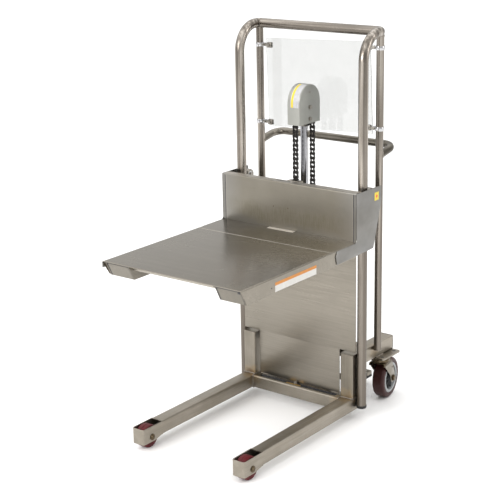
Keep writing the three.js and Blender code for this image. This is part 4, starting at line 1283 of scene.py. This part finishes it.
def channels():
    """Two hat channels under the deck, each closed by a sloped plate set into its cut end."""
    for side, s in SIDES.items():
        node = f"deck_channel_{side}"
        low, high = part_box(node)
        run, rise = 0.027, high.z - low.z
        bend = 0.006
        section = hat(low, high, bend, 0.0005, 5)

        def slope(point, inset=0.0):
            """How far back the sloped cut lies at a point of the section."""
            return low.y + 0.0006 + inset + run * (high.z - point[1]) / rise

        bm = bmesh.new()
        loft(bm, [[Vector((p[0], slope(p), p[1])) for p in section], lifted(section, 1, high.y)])

        def door(left, right, top, near, far):
            """The sloped end plate as two rings, with gaps left at its sides and its top."""
            x0, x1, z1 = low.x + SHEET + left, high.x - SHEET - right, high.z - SHEET - top
            shape = rounded((x0, low.z), (x1, z1), [0.0015, 0.0015, bend, bend], 5)
            return [[Vector((p[0], slope(p, inset), p[1])) for p in shape] for inset in (near, far)]

        loft(bm, door(0.0040, 0.0022, 0.0040, 0.0007, 0.0040))
        lip_low = (low.x + bend, low.y + 0.0005, high.z - 0.0040)
        slab(bm, lip_low, (high.x - bend, low.y + 0.0036, high.z - 0.0004), 0)
        slab(bm, (low.x + SHEET, low.y + 0.036, low.z), (high.x - SHEET, high.y, low.z + SHEET), 0.0005)
        piece(f"{side}_channel", bm, "channel", "carriage", node)
        # A dark ring round the sloped end plate paints the shade in its gaps.
        bm = bmesh.new()
        loft(bm, door(0.0001, 0.0001, 0.0001, 0.0011, 0.0048))
        piece(f"{side}_channel_gap_shade", bm, "core", "carriage")
        # Spot welds on the sloped end, and a weld down its outer edge.
        bm = bmesh.new()
        normal = Vector((0, -rise, -run)).normalized()
        share = 0.56  # of the way down the slope
        for i in range(4):
            x = low.x + (high.x - low.x) * (0.22 + 0.17 * i)
            place = Vector((x, low.y + 0.0018 + run * share, high.z - rise * share))
            lathe(bm, [(0, 0.0003), (0.0026, 0.0003), (0.0036, -0.0003), (0.0, -0.0003)], place, normal, 20)
        piece(f"{side}_channel_spots", bm, "weld", "carriage")
        outer = s * (max(abs(low.x), abs(high.x)) + 0.0024)
        line = [(outer, low.y + run * i / 6 + 0.003, high.z - rise * i / 6) for i in range(7)]
        weld(f"{side}_channel_weld", line, "carriage", 0.0022)


def side_plates():
    """Side plates with their roller pins, the weld of each rail and a dark strip that paints the shade of
    the seam at the back plate.
    """
    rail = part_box("platform_deck")[1].z
    back_low, back_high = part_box("back_plate")
    for side, s in SIDES.items():
        node = f"side_plate_{side}"
        low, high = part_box(node)
        outer = max(abs(low.x), abs(high.x))
        faces = sided(s, outer - 0.003, outer - 0.0004)
        points = [(low.y + 0.010, rail - 0.002), (low.y, rail - 0.020), (low.y + 0.007, low.z)]
        points += [(high.y - 0.048, low.z + 0.004), (high.y, rail + 0.112), (high.y, high.z)]
        points += [(back_low.y, high.z), (back_low.y, rail - 0.002)]
        radii = [0.004, 0.006, 0.004, 0.006, 0.01, 0.006, 0.003, 0.012]
        bm = bmesh.new()
        prism(bm, fillet(points, radii, True, 5), 0, *faces, 0.0008)
        piece(f"{side}_side_plate", bm, "plate", "carriage", node)

        bm = bmesh.new()
        for level in ("upper", "lower"):
            pin = Vector(JOINTS[f"{level}_roller_{side}_spin"]["pos_m"])
            inward = s * pin.x
            for radius, near, far, sides in (
                (0.0052, inward - 0.0155, outer - 0.001, 28),
                (0.0088, inward + 0.0125, outer - 0.002, 32),
                (0.0078, inward - 0.0140, inward - 0.0128, 28),
            ):
                rod(bm, radius, *sided(s, near, far), Vector((0, pin.y, pin.z)), X, sides)
        piece(f"{side}_roller_pins", bm, "bolts", "carriage")

        front = low.y + 0.002
        notch = [(front + 0.011, rail - 0.008), (front + 0.011, low.z + 0.010), (front, low.z + 0.004)]
        notch += [(front - 0.004, low.z + 0.014), (front - 0.004, rail - 0.010)]
        line = [(s * (outer - 0.0016), p[0] + 0.006, p[1]) for p in fillet(notch, 0.005, steps=5)]
        weld(f"{side}_rail_weld", line, "carriage", 0.0012)
        # A dark strip paints the shade in the seam between the side plate and the back plate.
        near, far = sided(s, back_high.x - 0.0008, back_high.x + 0.0004)
        seam_low = (near, back_low.y + 0.0006, rail)
        seam_high = (far, back_low.y + 0.003, high.z - 0.002)
        block(f"{side}_corner_seam_shade", "core", "carriage", seam_low, seam_high)
        if s > 0:
            labels(outer - 0.0004, high, rail)


def labels(x, high, rail):
    """Blank stickers on the right side: an orange and white strip, and a small yellow square."""
    deck_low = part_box("platform_deck")[0]
    face = x - 0.003
    start, end = deck_low.y + 0.172, deck_low.y + 0.396
    for name, look, z0, z1, lift in (
        ("rail_label", "white", rail - 0.0490, rail - 0.0185, 0.0002),
        ("rail_label_band", "orange", rail - 0.0285, rail - 0.0185, 0.0003),
    ):
        block(name, look, "carriage", (face - 0.001, start, z0), (face + lift, end, z1))
    square_low = (x - 0.001, high.y - 0.043, high.z - 0.046)
    block("side_label", "yellow", "carriage", square_low, (x + 0.0001, high.y - 0.017, high.z - 0.018))
    bm = bmesh.new()
    rod(bm, 0.0055, 0, 0.0001, Vector((x + 0.0001, high.y - 0.030, high.z - 0.032)), X, 28)
    piece("side_label_dot", bm, "red_ink", "carriage")
    # A dark disc paints the shade inside a small hole in the rail.
    bm = bmesh.new()
    rod(bm, 0.0022, 0, 0.0003, Vector((face, start - 0.018, rail - 0.032)), X, 20)
    piece("rail_hole", bm, "core", "carriage")


def back_plate():
    """The upright plate behind the deck, its top flange and edges, pale strips that paint highlights on
    them, dark strips that paint shade in the seams, and the chain's tongue.
    """
    low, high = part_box("back_plate")
    sheet = 0.004
    flange_back = low.y + 0.033
    half = high.x - 0.0008

    def upright(s, near, far, top):
        """Adds a strip down one end of the plate's face."""
        ends = sided(s, half + near, half + far)
        slab(bm, (ends[0], low.y - 0.0001, low.z + 0.004), (ends[1], low.y + 0.001, high.z - top), 0)

    bm = bmesh.new()
    section = [(low.y, low.z), (low.y, high.z), (flange_back, high.z), (flange_back, high.z - sheet)]
    section += [(low.y + sheet, high.z - sheet), (low.y + sheet, low.z)]
    prism(bm, fillet(section, [0.0008, 0.004, 0.0008, 0.0008, 0.001, 0.0008], True, 5), 0, -half, half)
    piece("carriage_back", bm, "stained", "carriage", "back_plate")

    bm = bmesh.new()
    for x in (-0.060, 0.002):
        button = [(0, 0), (0.0022, 0), (0.0018, 0.0004), (0, 0.0006)]
        lathe(bm, button, Vector((x, low.y, high.z - 0.090)), -Y, 16)
    piece("back_plate_marks", bm, "axle", "carriage")
    # Pale strips paint highlights on the flange's top and down the plate's ends.
    bm = bmesh.new()
    top_low = (-half + 0.002, low.y + 0.0045, high.z - 0.0004)
    slab(bm, top_low, (half - 0.002, flange_back - 0.0005, high.z + 0.0001), 0)
    for s in SIDES.values():
        upright(s, -0.0146, -0.0130, 0.004)
    piece("back_plate_edges", bm, "crease", "carriage")
    # Dark strips paint the shade in the seams at the plate's ends, and a dark patch on the flange paints
    # shade.
    bm = bmesh.new()
    for s in SIDES.values():
        upright(s, -0.0130, -0.0095, 0.004)
    notch_shade_low = (-0.060, flange_back - 0.016, high.z - 0.0006)
    slab(bm, notch_shade_low, (0.000, flange_back - 0.010, high.z + 0.0003), 0)
    piece("back_plate_gaps", bm, "core", "carriage")
    bm = bmesh.new()
    for s in SIDES.values():
        upright(s, -0.0095, 0.0006, 0.0035)
    piece("side_plate_lips", bm, "plate", "carriage")
    tongue_low = (-0.026, flange_back - 0.002, high.z - 0.010)
    block("anchor_tongue", "stamped", "carriage", tongue_low, (0.026, high.y, high.z - 0.0002), 0.0012)
    seam = [(x, flange_back + 0.0006, high.z - 0.0004) for x in (-0.025, 0.025)]
    weld("tongue_weld", seam, "carriage", 0.002)


def chain_anchor():
    """A threaded stud with its nut under the carriage's tongue, and a clevis block for the chain."""
    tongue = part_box("back_plate")[1].z
    node_low, node_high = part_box("chain_anchor")
    y = (node_low.y + node_high.y) / 2
    thread = 0.0016
    profile = [(0, node_low.z)]
    for i in range(int((tongue - 0.010 - node_low.z) / thread)):
        z = node_low.z + i * thread
        profile += [(0.0052, z), (0.006, z + thread / 2)]
    profile += [(0.006, node_high.z - 0.006), (0, node_high.z - 0.006)]
    bm = bmesh.new()
    lathe(bm, profile, Vector((0, y, 0)), Z, 28)
    bolt(bm, Vector((0, y, tongue - 0.0104)), -Z, 0.0115, 0.009, 1.15)
    piece("anchor_bolt", bm, "bolts", "carriage", "chain_anchor")
    bm = bmesh.new()
    slab(bm, (-0.0088, y - 0.0085, tongue + 0.0003), (0.0088, y + 0.0085, tongue + 0.004), 0.0008)
    slab(bm, (-0.0075, y - 0.0052, tongue + 0.0003), (0.0075, y + 0.0052, node_high.z + 0.003), 0.0012)
    piece("anchor_clevis", bm, "chain", "carriage")


def rollers():
    """Four rollers on their bearings, two on each side of the carriage."""
    for side in SIDES:
        for level in ("upper", "lower"):
            node = f"{level}_roller_{side}"
            low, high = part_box(node)
            radius = (high.z - low.z) / 2
            half = (high.x - low.x) / 2
            centre = (low + high) / 2
            ring = [(0.0118, 0.0006 - half), (radius - 0.0028, -half)]
            ring += [(radius - 0.0008, 0.001 - half), (radius, 0.003 - half)]
            bm = bmesh.new()
            lathe(bm, mirrored(ring), centre, X, 52)
            piece(f"{side}_{level}_roller", bm, "bolts", node, node)
            bm = bmesh.new()
            race = [(0.0058, 0.0004 - half), (0.0082, 0.0004 - half), (0.0086, 0.0018 - half)]
            race += [(0.0112, 0.0018 - half), (0.0119, 0.0009 - half)]
            lathe(bm, mirrored(race), centre, X, 44)
            piece(f"{side}_{level}_bearing", bm, "chrome", node)


# ---- shield ----


def shield():
    """A clear sheet hung a little out of level, on four band clamps."""
    low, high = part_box("clear_shield")
    tilt = math.radians(2)
    centre = (low + high) / 2
    half_x, half_z = 0.219, 0.1575
    thick = (high.y - low.y) / 2
    bm = bmesh.new()
    outline = rounded((-half_x, -half_z), (half_x, half_z), 0.004, 5)
    prism(bm, outline, 1, -thick, thick, 0.0005)
    turned(bm, Matrix.Translation(centre) @ Matrix.Rotation(-tilt, 4, "Y"))
    piece("shield_sheet", bm, "clear", "frame", "clear_shield", smooth=5)
    for side, s in SIDES.items():
        tube_low, tube_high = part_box(f"rear_tube_{side}")
        tube = (tube_low + tube_high) / 2
        tube_r = (tube_high.x - tube_low.x) / 2
        for level in ("lower", "upper"):
            node = f"shield_clamp_{side}_{level}"
            low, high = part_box(node)
            z = (low.z + high.z) / 2
            band_half = 0.0068
            bm = bmesh.new()
            grip = tube_r + 0.0002
            band = [(grip, -band_half), (grip + 0.0016, -band_half), (grip + 0.0021, 0.001 - band_half)]
            lathe(bm, mirrored(band), Vector((tube.x, tube.y, z)), Z, 48)
            ear_in = tube.x - s * (tube_r + 0.0135)
            ears = sorted((tube.x - s * (tube_r - 0.001), ear_in))
            for y in (tube.y - 0.0046, tube.y + 0.0022):
                slab(bm, (ears[0], y, z - band_half), (ears[1], y + 0.0022, z + band_half), 0.0007)
            piece(f"{side}_{level}_band", bm, "chrome", "frame", node)
            bm = bmesh.new()
            sheet_edge = s * half_x
            neck = sorted((ear_in + s * 0.004, sheet_edge - s * 0.004))
            jaw = sorted((sheet_edge - s * 0.002, sheet_edge - s * 0.021))
            for y0, y1 in ((tube.y - 0.0062, tube.y - 0.0022), (tube.y + 0.0022, tube.y + 0.0062)):
                slab(bm, (neck[0], y0 + 0.001, z - 0.005), (neck[1], y1 - 0.001, z + 0.005), 0.0006)
                slab(bm, (jaw[0], y0, z - 0.0092), (jaw[1], y1, z + 0.0092), 0.0008)
            for way in (-1, 1):
                face = Vector((sheet_edge - s * 0.0115, tube.y + way * 0.0062, z))
                bolt(bm, face, Y * way, 0.0085, 0.0035)
            bolt(bm, Vector(((ears[0] + ears[1]) / 2, tube.y - 0.0046, z)), -Y, 0.0075, 0.0035, 1.2)
            piece(f"{side}_{level}_clamp_bolts", bm, "bolts", "frame")


# ---- studio ----


def area_light(name, place, target, size, power, colour=(1, 1, 1)):
    data = bpy.data.lights.new(name, "AREA")
    data.shape = "RECTANGLE"
    data.size, data.size_y = size
    data.energy = power
    data.color = colour
    light = bpy.data.objects.new(name, data)
    light.location = place
    light.rotation_mode = "QUATERNION"
    light.rotation_quaternion = (Vector(target) - Vector(place)).to_track_quat("-Z", "Y")
    bpy.context.scene.collection.objects.link(light)


def studio():
    """A pale floor under soft light from the front, the right and above."""
    floor = bpy.data.meshes.new("floor")
    reach = 40
    corners = lifted(rectangle((-reach, -reach), (reach, reach)), 2, 0)
    floor.from_pydata(corners, [], [(0, 1, 2, 3)])
    ground = bpy.data.objects.new("floor", floor)
    ground.location.z = -0.0006  # clear of the lowest points of the tyres
    shader = Shader("pale_floor", "label")
    clouds = shader.noise(0.8, 2.0)
    tone = shader.mix(shader.span(clouds, 0.0, 1.0), (0.90, 0.90, 0.895), (0.92, 0.92, 0.915))
    floor.materials.append(shader.finish(tone, shader.span(clouds, 0.85, 0.9)))
    bpy.context.scene.collection.objects.link(ground)

    world = bpy.data.worlds.new("studio")
    bpy.context.scene.world = world
    world.use_nodes = True
    tree = world.node_tree
    backdrop = tree.nodes["Background"]
    place = tree.nodes.new("ShaderNodeTexCoord")
    parts = tree.nodes.new("ShaderNodeSeparateXYZ")
    tree.links.new(place.outputs["Generated"], parts.inputs[0])
    ramp = tree.nodes.new("ShaderNodeValToRGB")
    tree.links.new(parts.outputs["Z"], ramp.inputs[0])
    stops = ramp.color_ramp.elements
    stops[0].position, stops[0].color = 0.0, (0.82, 0.81, 0.79, 1)
    stops[1].position, stops[1].color = 0.8, (1.0, 1.0, 1.0, 1)
    tree.links.new(ramp.outputs[0], backdrop.inputs["Color"])
    backdrop.inputs["Strength"].default_value = 0.95

    middle = (0, 0, 0.7)
    area_light("front_softbox", (-0.6, -4.0, 2.6), middle, (2.4, 2.0), 110, (1.0, 0.97, 0.96))
    area_light("side_softbox", (3.6, 1.6, 2.4), middle, (1.4, 2.6), 35, (1.0, 0.96, 0.95))
    sky = bpy.data.lights.new("overhead", "SUN")
    sky.energy = 1.7
    sky.angle = math.radians(110)
    overhead = bpy.data.objects.new("overhead", sky)
    overhead.rotation_euler = (math.radians(12), math.radians(-10), 0)
    bpy.context.scene.collection.objects.link(overhead)


def camera():
    """The view of a long lens from the right front, a little above the platform."""
    yaw, pitch, roll = (math.radians(a) for a in (37.647, -16.471, -1.089))
    ahead = Vector((-math.sin(yaw) * math.cos(pitch), math.cos(yaw) * math.cos(pitch), math.sin(pitch)))
    right = Vector((math.cos(yaw), math.sin(yaw), 0))
    up = right.cross(ahead)
    right, up = right * math.cos(roll) + up * math.sin(roll), up * math.cos(roll) - right * math.sin(roll)
    data = bpy.data.cameras.new("camera")
    data.sensor_width = 36
    data.lens = 95.1
    eye = bpy.data.objects.new("camera", data)
    turn = Matrix((right, up, -ahead)).transposed().to_4x4()
    eye.matrix_world = Matrix.Translation((2.5922, -3.4527, 1.9072)) @ turn
    bpy.context.scene.collection.objects.link(eye)
    bpy.context.scene.camera = eye
    bpy.context.scene.view_settings.view_transform = "Standard"


camera()
studio()
mast()
handle()
for side_name, side_sign in SIDES.items():
    leg(side_name, side_sign)
    load_wheel(side_name)
    post_and_beam(side_name, side_sign)
    caster_plate(side_name, side_sign)
    caster(side_name)
front_member()
rear_tie()
front_panel()
ram()
pump()
head()
head_cap()
sprocket()
chain()
deck()
channels()
side_plates()
back_plate()
chain_anchor()
rollers()
shield()
